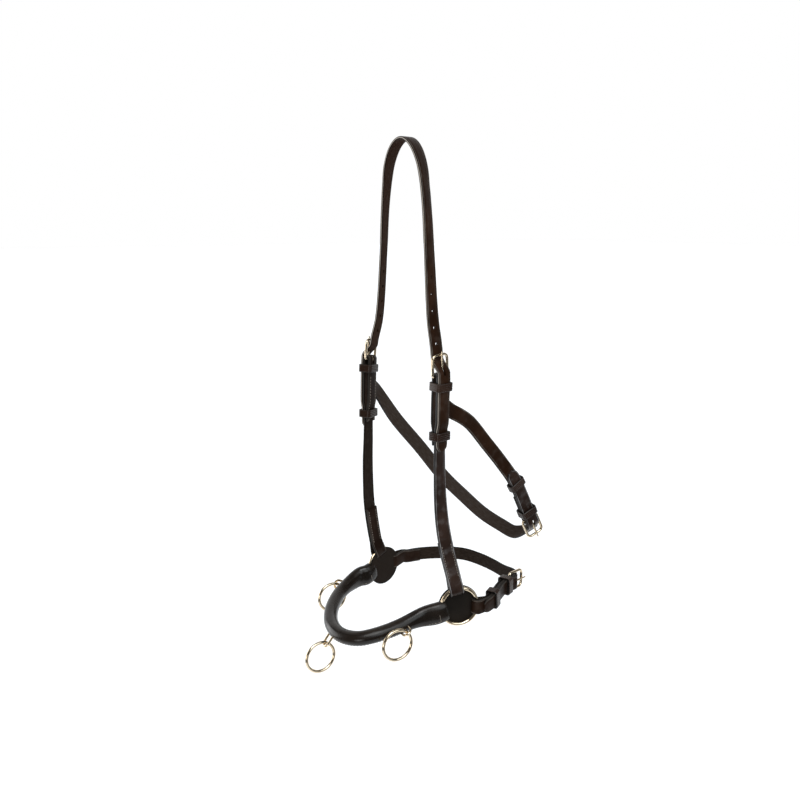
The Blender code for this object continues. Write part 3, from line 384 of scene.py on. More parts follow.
def corner(bar, way, face):
    """Route of a slack strap past the bar of its buckle and round a corner inside the frame."""
    points = [bar - way * CORNER_LEAD, bar, bar + way * CORNER_START]
    centre = points[-1] - face * CORNER_RADIUS
    return points + [centre + out * CORNER_RADIUS for out in corner_ways(face, way)]


def arc(x, y, r, start, end, cuts):
    """Points of a rounded corner or a fold between two angles in degrees."""
    angles = [math.radians(start + (end - start) * k / cuts) for k in range(cuts + 1)]
    return [(x + r * math.cos(angle), y + r * math.sin(angle)) for angle in angles]


def stations(line, path, flip=False):
    """Centre and side vector of a strap for each (s, n) of its path along a line."""
    rows = []
    for s, n in path:
        point, _, normal, side = line.frame(s)
        rows.append((point + normal * n, -side if flip else side))
    return rows


def tip_shares(rows, start_tip, end_tip):
    """Share of the width at each station, drawn in to a pointed tip at the ends that are billets."""
    lengths = lengths_along([point for point, _ in rows])
    starts = [tip_share(d) if start_tip else 1.0 for d in lengths]
    ends = [tip_share(lengths[-1] - d) if end_tip else 1.0 for d in lengths]
    return [min(pair) for pair in zip(starts, ends)]


def tip_share(distance):
    """Share of the strap's width at a distance from the rounded end of a billet."""
    left = max(0.0, 1 - distance / TIP_LENGTH)
    return TIP_BLUNT_SHARE + (1 - TIP_BLUNT_SHARE) * math.sqrt(1 - left * left)


def linked(name, data, matrix=None):
    """New object in the scene."""
    item = bpy.data.objects.new(name, data)
    bpy.context.scene.collection.objects.link(item)
    if matrix:
        item.matrix_world = matrix
    return item


def mesh_from(bm, name="cutter"):
    mesh = bpy.data.meshes.new(name)
    bm.to_mesh(mesh)
    bm.free()
    return mesh


def box_cutter(size, centre, matrix):
    bm = bmesh.new()
    bmesh.ops.create_cube(bm, size=1.0)
    bmesh.ops.scale(bm, vec=size, verts=bm.verts)
    bmesh.ops.translate(bm, vec=centre, verts=bm.verts)
    return linked("cutter", mesh_from(bm), matrix)


# Layers of leather, counted from the middle plane of a strap
BAR_LAYER = BUCKLE_WIRE / 2 + SEAT_GAP + STRAP_THICK / 2
SEWN_LAYER = STRAP_THICK / 2 + LAYER_GAP / 2
PLY = STRAP_THICK + LAYER_GAP
RING_RADIUS = (SIDE_RING_INSIDE + SIDE_RING_WIRE) / 2
# How far a ring's wire curves away from the middle of a strap to its edge
RING_SAG = RING_RADIUS - math.sqrt(RING_RADIUS ** 2 - (STRAP_WIDTH / 2) ** 2)
RING_LAYER = SIDE_RING_WIRE / 2 + SLIDE_GAP + RING_SAG / 2 + STRAP_THICK / 2
RING_NECK = 0.015
BAR_NECK = 0.0115
TONGUE_RIDE = BUCKLE_WIRE / 2 + SEAT_GAP + TONGUE_WIRE / 2
# Heights of the top and the middle of the side rings
RING_TOP = -HEAD_DROP - CHEEK_LENGTH
RING_HEIGHT = RING_TOP - RING_RADIUS


def ring_side(s):
    """Distance from the middle plane to a layer near a side ring."""
    return SEWN_LAYER + (RING_LAYER - SEWN_LAYER) * max(0.0, 1 - s / RING_NECK)


def ring_fold(knots):
    """Path of a strap's turned end, its fold round a side ring and its outer layer."""
    rows = [(s, -ring_side(s)) for s in reversed(knots)]
    return rows + arc(-RING_SAG / 2, 0, RING_LAYER, 270, 90, FOLD_STEPS)


class Chape:
    """A strap that carries a buckle: where its layers lie along its line.

    The layers share their stations, so that they lie flat on one another.
    """

    def __init__(self, line, bar_at, turn_back, tail, ring_turn_back=0.0, filled=0.0):
        self.line = line
        self.bar = bar_at
        self.turned = bar_at - turn_back
        self.tip = bar_at - tail
        self.ring_turn_back = ring_turn_back
        self.neck_end = bar_at - filled
        self.neck_start = self.neck_end - BAR_NECK
        marks = [self.turned, self.tip, self.tip + TIP_FIRST_STEP, self.tip + TIP_LENGTH,
                 self.neck_start, self.neck_start + BAR_NECK / 2]
        if ring_turn_back:
            marks += [RING_NECK / 2, RING_NECK, ring_turn_back]
        else:
            marks += [0.0, JOWL_IN_PLANE, JOWL_IN_PLANE + BAR_NECK]
        if filled:
            marks += [self.neck_end, bar_at - BAR_NECK / 2]
        self.knots = filled_in(marks)

    def inner(self, s):
        """Depth of the layer turned back from the bar, below the line."""
        return ease(SEWN_LAYER, BAR_LAYER, (s - self.neck_start) / BAR_NECK)

    def outer(self, s):
        """Height of the outer layer's middle above the line."""
        if self.ring_turn_back:
            return max(self.inner(s), ring_side(s))
        return ease(0.0, self.inner(s), (s - JOWL_IN_PLANE) / BAR_NECK)

    def path(self):
        rows = []
        if self.ring_turn_back:
            rows += ring_fold([s for s in self.knots if s <= self.ring_turn_back])
        rows += [(s, self.outer(s)) for s in self.knots]
        rows += arc(self.bar, 0, BAR_LAYER, 90, -90, FOLD_STEPS)
        return rows + [(s, -self.inner(s)) for s in reversed(self.knots) if s >= self.turned]

    def billet(self):
        """Path of the billet from its tip, over the chape and through the frame."""
        rows = [(s, self.outer(s) + PLY) for s in self.knots if s >= self.tip]
        if self.neck_end == self.bar:
            rows.append((self.bar - BILLET_CROSS_START, BAR_LAYER + PLY))
        cross = BILLET_CROSS_END - BILLET_CROSS_START
        for t in [k / CROSS_STEPS for k in range(CROSS_STEPS + 1)]:
            rows.append((self.bar + BILLET_CROSS_START + cross * t, ease(BAR_LAYER + PLY, -BAR_LAYER, t)))
        return rows

    def room(self, s, reach):
        """Half width, lowest and highest surface of the layers within a reach of s, seen from s."""
        origin, _, normal, side = self.line.frame(s)
        doubled = s > self.turned or s < self.ring_turn_back
        sides = []
        lows = []
        highs = []
        for e in steps_between(s - reach, s + reach, reach * ROOM_STEP_SHARE):
            point, _, face, across = self.line.frame(e)
            under = -self.inner(e) if doubled else self.outer(e)
            over = self.outer(e) + PLY
            for edge in (STRAP_WIDTH / 2, -STRAP_WIDTH / 2):
                foot = point + across * edge - origin
                sides.append(abs(foot.dot(side)))
                lows.append((foot + face * under).dot(normal))
                highs.append((foot + face * over).dot(normal))
        return max(sides), min(lows) - STRAP_THICK / 2, max(highs) + STRAP_THICK / 2


def face_direction(sign, turn, lift=0):
    """Outward direction, from a turn toward the front and a lift in degrees."""
    a = math.radians(turn)
    b = math.radians(lift)
    return Vector((math.sin(a) * math.cos(b), sign * math.cos(a) * math.cos(b), math.sin(b)))


class Side:
    """One side of the harness: its ring, and its line from the ring's wire up to the poll."""

    def __init__(self, sign, toe_in, lean, chin_dip, chin_turn_in, cheek_shares, head_shares):
        toe_in, lean, self.chin_dip, self.chin_turn_in = [
            math.radians(angle) for angle in (toe_in, lean, chin_dip, chin_turn_in)]
        self.centre = Vector((-RING_SET_BACK, sign * HALF_WIDTH, RING_HEIGHT))
        self.outward = Vector((math.sin(toe_in), sign * math.cos(toe_in), 0))
        self.forward = Vector((math.cos(toe_in), -sign * math.sin(toe_in), 0))
        self.cheek_way = turned(UP, self.forward, lean)
        points = [self.centre + self.cheek_way * far for far in (RING_RADIUS, RING_RADIUS + RING_NECK)]
        faces = [self.outward, self.outward]
        half = sign * HALF_WIDTH
        for rows, origin, scale in ((cheek_shares, (0, 0, RING_TOP), (CHEEK_SWAY, half, CHEEK_LENGTH)),
                                    (head_shares, (0, 0, 0), (HEAD_SWAY, half, -HEAD_DROP))):
            points += [scaled(row, origin, scale) for row in rows]
            faces += [face_direction(sign, *row[3:]) for row in rows]
        self.line = Line(points + [Vector((0, 0, STRAP_THICK / 2))], faces + [UP])
        bar = next(d for point, d in zip(self.line.points, self.line.lengths) if point.z >= -HEAD_DROP)
        self.chape = Chape(self.line, bar, CHEEK_TURN_BACK, CHEEK_BILLET_TAIL, RING_TURN_BACK, CHEEK_FILLED)

    def matrix(self):
        """Frame of the ring, right-handed on both sides."""
        right_handed = self.forward.cross(UP).dot(self.outward) > 0
        return placed(self.centre, self.forward if right_handed else -self.forward, UP, self.outward)

    def leave(self, dip, ahead, turn_in=0.0):
        """Point on the ring's wire, ahead of its centre or behind, lowered by an angle.

        Then the way a strap leaves the ring there, turned in from the ring's own plane.
        """
        direction = turned(self.forward * ahead, -UP, dip)
        return self.centre + direction * RING_RADIUS, turned(direction, -self.outward, turn_in)

    def jowl_start(self):
        """Where a jowl strap lies between the cheek's layers, and the faces there."""
        point, tangent, normal, side = self.line.frame(self.chape.bar - JOWL_BELOW_BAR)
        way = turned(side if side.x < 0 else -side, -tangent, JOWL_SLOPE)
        marks = (JOWL_TUCK, (JOWL_TUCK + JOWL_IN_PLANE) / 2, JOWL_IN_PLANE)
        return [point + way * d for d in marks], [normal] * len(marks)


def chin_point(row):
    return scaled(row, (-RING_SET_BACK, 0, RING_HEIGHT), (CHIN_LENGTH, HALF_WIDTH, CHIN_FALL))


def jowl_point(row):
    return scaled(row, (0, 0, -HEAD_DROP - JOWL_BELOW_BAR), (JOWL_LENGTH, HALF_WIDTH, -JOWL_FALL))


def noseband_line(sides):
    """Middle of the noseband, from inside the near ring round the nose to inside the far one."""
    ends = {}
    for name, side in sides.items():
        wire, out = side.leave(TAB_DIP, 1)
        ends[name] = [wire - out * TAB_INSIDE_RING, wire, wire + out * TAB_INSIDE_RING]
    origin = (-RING_SET_BACK, 0, sides["near"].centre.z)
    scale = (NOSE_LENGTH, HALF_WIDTH, -NOSE_FALL)
    return Line(ends["near"] + [scaled(row, origin, scale) for row in NOSE_SHARES] + ends["far"][::-1])


def roll_share(from_end):
    """0 on the noseband's flat tabs, 1 on its round roll, by the distance from its end."""
    return ease(0.0, 1.0, (from_end - 2 * TAB_INSIDE_RING) / TAB_LENGTH)


def nose_section(from_end):
    """Outline across the noseband: nearer a box on a tab, a circle on the roll."""
    roll = roll_share(from_end)
    trim = ease(TAB_END_SHARE, 1.0, from_end / TAB_INSIDE_RING)
    across = (TAB_HALF_HEIGHT * (1 - roll) + ROLL_RADIUS * roll) * trim
    deep = (TAB_HALF_THICK * (1 - roll) + ROLL_RADIUS * roll) * trim
    power = ROUND / (TAB_SQUARENESS * (1 - roll) + ROUND * roll)
    outline = []
    for angle in turns(ROLL_CUTS, 0.5):
        c = math.cos(angle)
        s = math.sin(angle)
        outline.append((across * math.copysign(abs(c) ** power, c),
                        deep * math.copysign(abs(s) ** power, s)))
    return outline


def chin_route(near, far):
    """The chin straps as one line, from the near ring past the buckle to the far ring."""
    near_wire, near_out = near.leave(near.chin_dip, -1, near.chin_turn_in)
    far_wire, far_out = far.leave(far.chin_dip, -1, far.chin_turn_in)
    points = [near_wire, near_wire + near_out * RING_NECK]
    points += [chin_point(row) for row in CHIN_NEAR_SHARES]
    bar_row = len(points) + 1
    way = Vector(CHIN_WAY).normalized()
    points += corner(chin_point(CHIN_BAR_SHARES), way, way.cross(UP))
    points += [chin_point(row) for row in CHIN_FAR_SHARES]
    points += [far_wire + far_out * RING_NECK, far_wire]
    line = Line(points, [t.cross(UP) for t in Line(points).tangents[::LINE_STEPS]])
    bar_at = line.lengths[LINE_STEPS * bar_row]
    return Chape(line, bar_at, CHIN_TURN_BACK, CHIN_BILLET_TAIL, CHIN_RING_TURN_BACK)


def chin_strap_rows(chape):
    """Stations of the chin strap, from its turned end at the far ring to its billet's tip."""
    total = chape.line.total
    stop = total - (chape.bar + BILLET_CROSS_END)
    knots = filled_in([RING_NECK / 2, RING_NECK, CHIN_RING_TURN_BACK, stop])[:-1]
    path = ring_fold([s for s in knots if s <= CHIN_RING_TURN_BACK])
    for s in knots:
        share = (s - CHIN_RING_TURN_BACK) / (stop - CHIN_RING_TURN_BACK)
        path.append((s, ease(SEWN_LAYER, -BAR_LAYER, share) if share > 0 else ring_side(s)))
    path = [(total - s, height) for s, height in path]
    return stations(chape.line, path + chape.billet()[::-1])


def jowl_route(near, far):
    """The jowl straps as one line, from inside the near cheek past the buckle to the far cheek."""
    points, faces = near.jowl_start()
    far_points, far_faces = far.jowl_start()
    points += [jowl_point(row) for row in JOWL_NEAR_SHARES]
    faces += [Vector(row[3]) for row in JOWL_NEAR_SHARES]
    bar_row = len(points) + 1
    way = Vector(JOWL_WAY).normalized()
    face = square_to(way, Vector(JOWL_BAR_FACE))
    points += corner(jowl_point(JOWL_BAR_SHARES), way, face)
    faces += [face, face, face] + corner_ways(face, way)
    points += [jowl_point(row) for row in JOWL_FAR_SHARES] + far_points[::-1]
    faces += [Vector(row[3]) for row in JOWL_FAR_SHARES] + far_faces
    line = Line(points, faces)
    return Chape(line, line.lengths[LINE_STEPS * bar_row], JOWL_TURN_BACK, JOWL_BILLET_TAIL)


def jowl_strap_rows(chape):
    """Stations of the far jowl strap, from its billet's tip round to the far cheek."""
    path = chape.billet()
    start = chape.bar + BILLET_CROSS_END
    end = chape.line.total
    for s in steps_between(start + STRAP_STEP / 2, end, STRAP_STEP):
        path.append((s, ease(-BAR_LAYER, 0.0, (s - start) / (end - JOWL_IN_PLANE - start))))
    return stations(chape.line, path)


def headpiece_rows(near, far):
    """Stations of the headpiece, from the far billet's tip over the poll to the near one's."""
    halves = []
    for chape in (far, near):
        start = chape.bar + BILLET_CROSS_END + STRAP_STEP
        path = [(s, head_height(chape, s)) for s in steps_between(start, chape.line.total, STRAP_STEP)]
        halves.append(stations(chape.line, chape.billet() + path, flip=chape is near))
    return eased_crown(halves[0] + halves[1][::-1][1:])


def eased_crown(rows):
    """The headpiece's stations with the bend over the poll made even, and lifted a little."""
    for _ in range(CROWN_PASSES):
        eased = list(rows)
        for i in range(CROWN_WINDOW, len(rows) - CROWN_WINDOW):
            around = rows[i - CROWN_WINDOW:i + CROWN_WINDOW + 1]
            share = 1 - min(1.0, rows[i][0].length / CROWN_HALF)
            centre = sum((row[0] for row in around), Vector()) / len(around)
            side = sum((row[1] for row in around), Vector()) / len(around)
            eased[i] = (rows[i][0].lerp(centre, share), rows[i][1].lerp(side, share).normalized())
        rows = eased
    lifts = [UP * CROWN_LIFT * ease(1.0, 0.0, point.length / CROWN_LIFT_REACH) for point, _ in rows]
    return [(point + lift, side) for (point, side), lift in zip(rows, lifts)]


def head_height(chape, s):
    """The headpiece lies behind the frame's head and eases to the middle plane at the poll."""
    start = chape.bar + BILLET_CROSS_END
    return ease(-BAR_LAYER, 0.0, (s - start) / (chape.line.total - start))


# Form of the visible leather
EDGE_ROUND = 0.0008
CREASE_INSET = 0.0019
CREASE_HALF = 0.0004
CREASE_DEPTH = 0.00018
FACE_CROWN = 0.00014
CORNER_CUTS = 3
HOLE_CUTS = 24
SHARP_ANGLE = math.radians(50)
# Level, and pale middle of the cut edge (bare leather and painted reflection), of a surface without a cut
# edge
PLAIN = (1.0, 0.0)
HEAD_EDGE_BARE_AND_REFLECTION = 0.9
CHEEK_EDGE_BARE_AND_REFLECTION = 0.10
STRAP_EDGE_BARE_AND_REFLECTION = 0.06
FILLER_INSET = 0.0005
FILLER_LACK = 0.0002
CROWN_HALF = 0.042
CROWN_WINDOW = 3
CROWN_PASSES = 3
CROWN_LIFT = 0.0032
CROWN_LIFT_REACH = 0.110
KEEPER_EDGE = 0.0006
KEEPER_CREASES = 4
KEEPER_CUTS = 8
SAFE_CUTS = 96
SAFE_EDGE = 0.0007
SAFE_INNER_SHARE = 1 / 8
NOTCH_TUCK = 0.0020

# Form of the noseband's cover
ROLL_CUTS = 48
ROLL_FINE_STEP = 0.0026
ROLL_SEAM_TURN = math.radians(158)
ROLL_SEAM_HALF = math.radians(5)
ROLL_STITCH_TURN = math.radians(143)
ROLL_SEAM_DEPTH = 0.0006
ROLL_WAVE_SIZE = 0.022
ROLL_WAVE_DEPTH = 0.00035
ROLL_GRAIN_SIZE = 0.005
ROLL_GRAIN_DEPTH = 0.00008
TAB_SEAM_INSET = 0.0042
TAB_SEAM_SHARES = [-0.85, -0.60, -0.35, -0.10]
TAB_END_ROUND = 0.0006
TAB_END_ROUND_SHARE = 0.90

# Form of the metal
WIRE_CUTS = 16
RING_CUTS = 128
FRAME_CUTS = 8
TONGUE_SLOT_RISE = 0.0020
# Start and end of the hook round the bar, in degrees
TONGUE_HOOK = (-30, -270)
TONGUE_HOOK_CUTS = 16
TONGUE_RUN_CUTS = 8
TONGUE_POINT_SHARE = 0.72
# Steps of the dome at a wire's end, in degrees
DOME_STEPS = (30, 60, 85)
EYE_CUTS = 20

# Thread
STITCH_PITCH = 0.0032
STITCH_LENGTH = 0.0024
STITCH_RADIUS = 0.00036
STITCH_INSET = 0.0027
STITCH_SIDES = 6
# Place along half a stitch and its thickness there, as shares
STITCH_SHARES = [(-1.0, 0.35), (-0.75, 0.85), (0.0, 1.0), (0.75, 0.85), (1.0, 0.35)]

# Camera and lights
CAMERA_PLACE = (0.57763, 0.80034, -0.0860)
CAMERA_TURN = math.radians(35.5)
CAMERA_PITCH = math.radians(11.2)
CAMERA_LENS = 40.5
CAMERA_SENSOR = 36.0
FLOOR_DROP = 1.25
FLOOR_BACK = -40.0
FLOOR_FRONT = 1.0
WHITE = (1.0, 1.0, 1.0)
COOL = (0.88, 0.96, 1.0)
ROOM_TINT = (0.93, 0.96, 1.0)
FLOOR_TONES = ((0.97, 0.97, 0.97), (0.99, 0.99, 0.99))
FLOOR_DULLNESS = 0.9
# Name, direction that the light comes from, spread in degrees, power and tint
LAMPS = [
    ("key_light", (0.55, 0.60, 1.10), 30, 1.05, WHITE),
    ("strip_light", (0.88, 0.47, -0.16), 20, 0.50, WHITE),
    ("rim_light", (0.57, -0.80, 0.00), 44, 1.3, WHITE),
    ("fill_light", (0.10, 0.82, 0.55), 58, 1.55, COOL),
    ("side_light", (-0.50, 0.85, -0.10), 24, 0.07, COOL),
]
ROOM_LIGHT = 0.43
# The dim side of the studio, which polished metal mirrors
DIM_WAY = (0.57, 0.79, 0.12)
DIM_START = math.cos(math.radians(150))
DIM_FULL = math.cos(math.radians(95))
DIM_LIGHT = 0.11
FLOOR_OWN_LIGHT = 0.20

# Bands across a strap, as distances from its middle: where each starts and stops rising, then falling
CREASE_SHADE_BAND = (0.0058, 0.0061, 0.0062, 0.0065)
CREASE_HIGHLIGHT_BAND = (0.0063, 0.0067, 0.0069, 0.0073)
CORNER_HIGHLIGHT_BAND = (0.0074, 0.0077)
PAINT_BAND = (0.0074, 0.0078)
FLESH_BAND = (0.0068, 0.0074)
# Depths of the fine relief
PORE_DEPTH = 0.00003
RUMPLE_DEPTH = 0.00016
SCRATCH_DEPTH = 0.00006
WAVE_DEPTH = 0.0006
TWIST_DEPTH = 0.0002
# How often each pattern repeats in a metre; where there are two, along a strap and across it
CLOUD_RATE = 26.0
BLOTCH_RATE = 95.0
PORE_RATE = 1150.0
FIBRE_RATES = (160.0, 900.0)
RUMPLE_RATES = (420.0, 120.0)
BRASS_CLOUD_RATE = 60.0
SPECK_RATE = 620.0
SCRATCH_RATES = (1900.0, 240.0)
THREAD_CLOUD_RATE = 210.0
TWIST_RATE = 900.0
FLOOR_CLOUD_RATE = 3.0
# Most painted highlight on the line beside a strap's crease: a start, and how much the leather's own wear
# and painted sheen adds
CREASE_HIGHLIGHT_START = 0.15
CREASE_HIGHLIGHT_PER_WEAR_AND_SHEEN = 3.0
# Tones that several leathers share, the pale one both for wear and for painted highlights, then those of
# the metal and the thread
EDGE_PAINT = (0.0022, 0.0014, 0.0010)
SOFT_PAINT = (0.0030, 0.0022, 0.0019)
SOFT_WEAR_AND_HIGHLIGHT = (0.050, 0.042, 0.036)
BRASS_TONES = ((0.80, 0.68, 0.51), (0.68, 0.55, 0.38))
TARNISH_TONE = (0.34, 0.25, 0.14)
THREAD_TONES = ((0.150, 0.120, 0.095), (0.260, 0.220, 0.185))
# Painted shade in the grooves of the thread's twist
TWIST_SHADE_TONE = (0.05, 0.035, 0.024)


# Materials
class Graph:
    """Nodes of a material or of the world, added and joined one by one."""

    def __init__(self, owner, shader="Principled BSDF"):
        owner.use_nodes = True
        self.owner = owner
        self.tree = owner.node_tree
        self.shader = self.tree.nodes[shader]

    def add(self, kind, inputs=None, **settings):
        made = self.tree.nodes.new(kind)
        for key, value in settings.items():
            setattr(made, key, value)
        for key, value in (inputs or {}).items():
            self.give(made.inputs[key], value)
        return made

    def give(self, socket, value):
        if isinstance(value, bpy.types.NodeSocket):
            self.tree.links.new(value, socket)
        else:
            socket.default_value = value

    def math(self, operation, a, b=0.0):
        return self.add("ShaderNodeMath", {0: a, 1: b}, operation=operation).outputs[0]

    def plus(self, a, b):
        return self.math("ADD", a, b)

    def times(self, a, b):
        return self.math("MULTIPLY", a, b)

    def band(self, value, low, high, start=0.0, end=1.0):
        """Smooth step from start to end while the value goes from low to high."""
        made = self.add("ShaderNodeMapRange", {0: value, 1: low, 2: high, 3: start, 4: end},
                        interpolation_type="SMOOTHSTEP")
        return made.outputs[0]

    def hump(self, value, low, rise, top, fall):
        """1 while the value is between rise and top, and 0 outside low and fall."""
        return self.times(self.band(value, low, rise), self.band(value, top, fall, 1.0, 0.0))

    def mix(self, share, a, b):
        a, b = [tone if isinstance(tone, bpy.types.NodeSocket) else (*tone, 1.0) for tone in (a, b)]
        return self.add("ShaderNodeMix", {0: share, 6: a, 7: b}, data_type="RGBA").outputs[2]

    def noise(self, place, rate, detail=4.0):
        inputs = {"Vector": place, "Scale": rate, "Detail": detail}
        return self.add("ShaderNodeTexNoise", inputs).outputs[0]

    def streaks(self, place, rates, detail):
        """Noise with a rate of its own along a strap and across it."""
        inputs = {"Vector": place, "Scale": (*rates, 1.0)}
        return self.noise(self.add("ShaderNodeMapping", inputs).outputs[0], 1.0, detail)

    def cells(self, place, rate):
        return self.add("ShaderNodeTexVoronoi", {"Vector": place, "Scale": rate}).outputs["Distance"]

    def object_place(self):
        return self.add("ShaderNodeTexCoord").outputs["Object"]

    def surface_place(self, title):
        """A piece's own coordinates, as their first and second value and as a vector."""
        place = self.add("ShaderNodeUVMap", uv_map=title).outputs[0]
        split = self.add("ShaderNodeSeparateXYZ", {0: place})
        return place, split.outputs[0], split.outputs[1]

    def bump(self, height, distance, strength, below=None):
        values = {"Height": height, "Distance": distance, "Strength": strength}
        if below:
            values["Normal"] = below
        return self.add("ShaderNodeBump", values).outputs[0]

    def seen_or_lit(self, lit, seen):
        """One shader for rays that look at a thing, straight or in a mirror, and one for the rest."""
        path = self.add("ShaderNodeLightPath")
        total = path.outputs["Is Camera Ray"]
        for title in ("Is Glossy Ray", "Is Transmission Ray"):
            total = self.math("MAXIMUM", total, path.outputs[title])
        return self.add("ShaderNodeMixShader", {0: total, 1: lit.outputs[0], 2: seen.outputs[0]}).outputs[0]

    def show(self, output, shader):
        self.give(self.tree.nodes[output].inputs[0], shader)

    def finish(self, **values):
        for key, value in values.items():
            self.give(self.shader.inputs[key.replace("_", " ")], value)
        return self.owner


def leather_material(name, deep_tone, warm_tone, edge_tone, wear_and_highlight_tone, flesh_tone, dullness, mirror,
                     wear_and_sheen=0.03):
    """Dressed leather: mottled colour, pores, painted edges, raw flesh side; painted shade in the creases,
    painted highlights beside them and on the upper corners, and a cut edge pale in its middle from painted
    reflection and bare leather.
    """
    g = Graph(bpy.data.materials.new(name))
    place = g.object_place()
    run, _, across_signed = g.surface_place("run")
    _, level, bare_edge_and_reflection = g.surface_place("deep")
    across = g.math("ABSOLUTE", across_signed)
    cloud = g.noise(place, CLOUD_RATE, 6.0)
    blotch = g.noise(place, BLOTCH_RATE, 5.0)
    fibre = g.streaks(run, FIBRE_RATES, 5.0)
    pores = g.cells(place, PORE_RATE)
    rumple = g.streaks(run, RUMPLE_RATES, 6.0)

    dressed = g.mix(g.band(cloud, 0.38, 0.66), deep_tone, warm_tone)
    # Pale mottling: real wear, and on the sheened leather also a painted sheen.
    dressed = g.mix(g.times(g.band(blotch, 0.46, 0.78), wear_and_sheen), dressed, wear_and_highlight_tone)
    dressed = g.mix(g.band(pores, 0.10, 0.42, 0.45, 0.0), dressed, edge_tone)
    # Painted shade: the crease along each edge is darkened toward the edge tone.
    dressed = g.mix(g.times(g.hump(across, *CREASE_SHADE_BAND), 0.7), dressed, edge_tone)
    # Painted highlight: a pale line beside each crease, where the groove's flank catches the light.
    most = CREASE_HIGHLIGHT_START + CREASE_HIGHLIGHT_PER_WEAR_AND_SHEEN * wear_and_sheen
    crease_highlight = g.times(g.hump(across, *CREASE_HIGHLIGHT_BAND), g.band(blotch, 0.30, 0.62, wear_and_sheen, most))
    dressed = g.mix(crease_highlight, dressed, wear_and_highlight_tone)
    # Painted highlight: the upper corners of the edges are lightened toward the pale tone, in patches.
    corner_highlight = g.times(g.band(across, *CORNER_HIGHLIGHT_BAND), g.band(level, 0.35, 0.75))
    corner_highlight = g.times(corner_highlight, g.band(cloud, 0.35, 0.60, 0.03, 0.14))
    # Painted reflection and bare leather: the middle of the cut edge is mixed toward the pale tone.
    middle = g.times(g.band(g.math("ABSOLUTE", level), 0.10, 0.42, 1.0, 0.0), bare_edge_and_reflection)
    surface = g.mix(g.band(across, *PAINT_BAND), dressed, g.mix(middle, edge_tone, wear_and_highlight_tone))
    surface = g.mix(corner_highlight, surface, wear_and_highlight_tone)
    flesh = g.times(g.band(level, -0.97, -0.80, 1.0, 0.0), g.band(across, *FLESH_BAND, 1.0, 0.0))
    surface = g.mix(flesh, surface, g.mix(g.band(fibre, 0.35, 0.75, 0.0, 0.04), flesh_tone, wear_and_highlight_tone))

    rough = g.band(cloud, 0.30, 0.70, dullness - 0.04, dullness + 0.10)
    rough = g.plus(rough, g.band(pores, 0.05, 0.40, 0.08, 0.0))
    rough = g.plus(rough, g.times(flesh, 0.30))
    height = g.plus(g.band(pores, 0.0, 0.45), g.times(fibre, 0.35))
    skin = g.bump(rumple, RUMPLE_DEPTH, 0.35, g.bump(height, PORE_DEPTH, 0.60))
    return g.finish(Base_Color=surface, Roughness=rough, Normal=skin, Specular_IOR_Level=mirror)


def brass_material():
    """Pale brass, polished, with fine scratches round the wire and a little tarnish."""
    g = Graph(bpy.data.materials.new("pale_brass_polished"))
    place = g.object_place()
    run, _, _ = g.surface_place("run")
    cloud = g.noise(place, BRASS_CLOUD_RATE, 5.0)
    specks = g.noise(place, SPECK_RATE)
    scratch = g.streaks(run, SCRATCH_RATES, 4.0)
    colour = g.mix(g.band(cloud, 0.35, 0.68), *BRASS_TONES)
    colour = g.mix(g.band(specks, 0.60, 0.74, 0.0, 0.55), colour, TARNISH_TONE)
    rough = g.plus(g.band(scratch, 0.30, 0.72, 0.05, 0.13), g.band(specks, 0.56, 0.72, 0.0, 0.16))
    skin = g.bump(cloud, WAVE_DEPTH, 0.12, g.bump(scratch, SCRATCH_DEPTH, 0.30))
    return g.finish(Base_Color=colour, Roughness=rough, Normal=skin, Metallic=1.0)


def thread_material():
    """Waxed linen thread, two strands laid together."""
    g = Graph(bpy.data.materials.new("waxed_thread"))
    place = g.object_place()
    cloud = g.noise(place, THREAD_CLOUD_RATE, 3.0)
    inputs = {"Vector": place, "Scale": TWIST_RATE, "Distortion": 2.0, "Detail": 2.0}
    twist = g.add("ShaderNodeTexWave", inputs, bands_direction="DIAGONAL").outputs[1]
    colour = g.mix(g.band(cloud, 0.34, 0.66), *THREAD_TONES)
    # Painted shade: darker along the grooves of the twist.
    colour = g.mix(g.band(twist, 0.2, 0.8, 0.35, 0.0), colour, TWIST_SHADE_TONE)
    rough = g.band(cloud, 0.3, 0.7, 0.55, 0.75)
    return g.finish(Base_Color=colour, Roughness=rough, Normal=g.bump(twist, TWIST_DEPTH, 0.6))


LEATHER_LOOK = leather_material(
    "dark_brown_bridle_leather", (0.0170, 0.0070, 0.0032), (0.0290, 0.0120, 0.0056),
    EDGE_PAINT, (0.480, 0.420, 0.360), (0.0260, 0.0104, 0.0046), dullness=0.38, mirror=0.045)
DARK_LOOK = leather_material(
    "black_brown_bridle_leather", (0.0115, 0.0058, 0.0036), (0.0210, 0.0102, 0.0060),
    EDGE_PAINT, (0.400, 0.350, 0.300), (0.0150, 0.0092, 0.0062), dullness=0.38, mirror=0.045)
# Glossier leather whose greyer tones and heavy pale mottling are a painted cool sheen.
WAXED_PAINTED_SHEEN_LOOK = leather_material(
    "waxed_bridle_leather_painted_sheen", (0.0165, 0.0088, 0.0062), (0.0300, 0.0155, 0.0105),
    EDGE_PAINT, (0.420, 0.410, 0.410), (0.0270, 0.0165, 0.0108), dullness=0.30, mirror=0.16,
    wear_and_sheen=0.12)
KEEPER_LOOK = leather_material(
    "polished_brown_leather", (0.0160, 0.0070, 0.0038), (0.0270, 0.0118, 0.0062),
    EDGE_PAINT, (0.200, 0.175, 0.155), (0.0200, 0.0115, 0.0072), dullness=0.17, mirror=0.32)
ROLLED_LOOK = leather_material(
    "rolled_black_brown_leather", (0.0058, 0.0040, 0.0028), (0.0115, 0.0072, 0.0046),
    SOFT_PAINT, SOFT_WEAR_AND_HIGHLIGHT, (0.018, 0.013, 0.010), dullness=0.19, mirror=0.31)
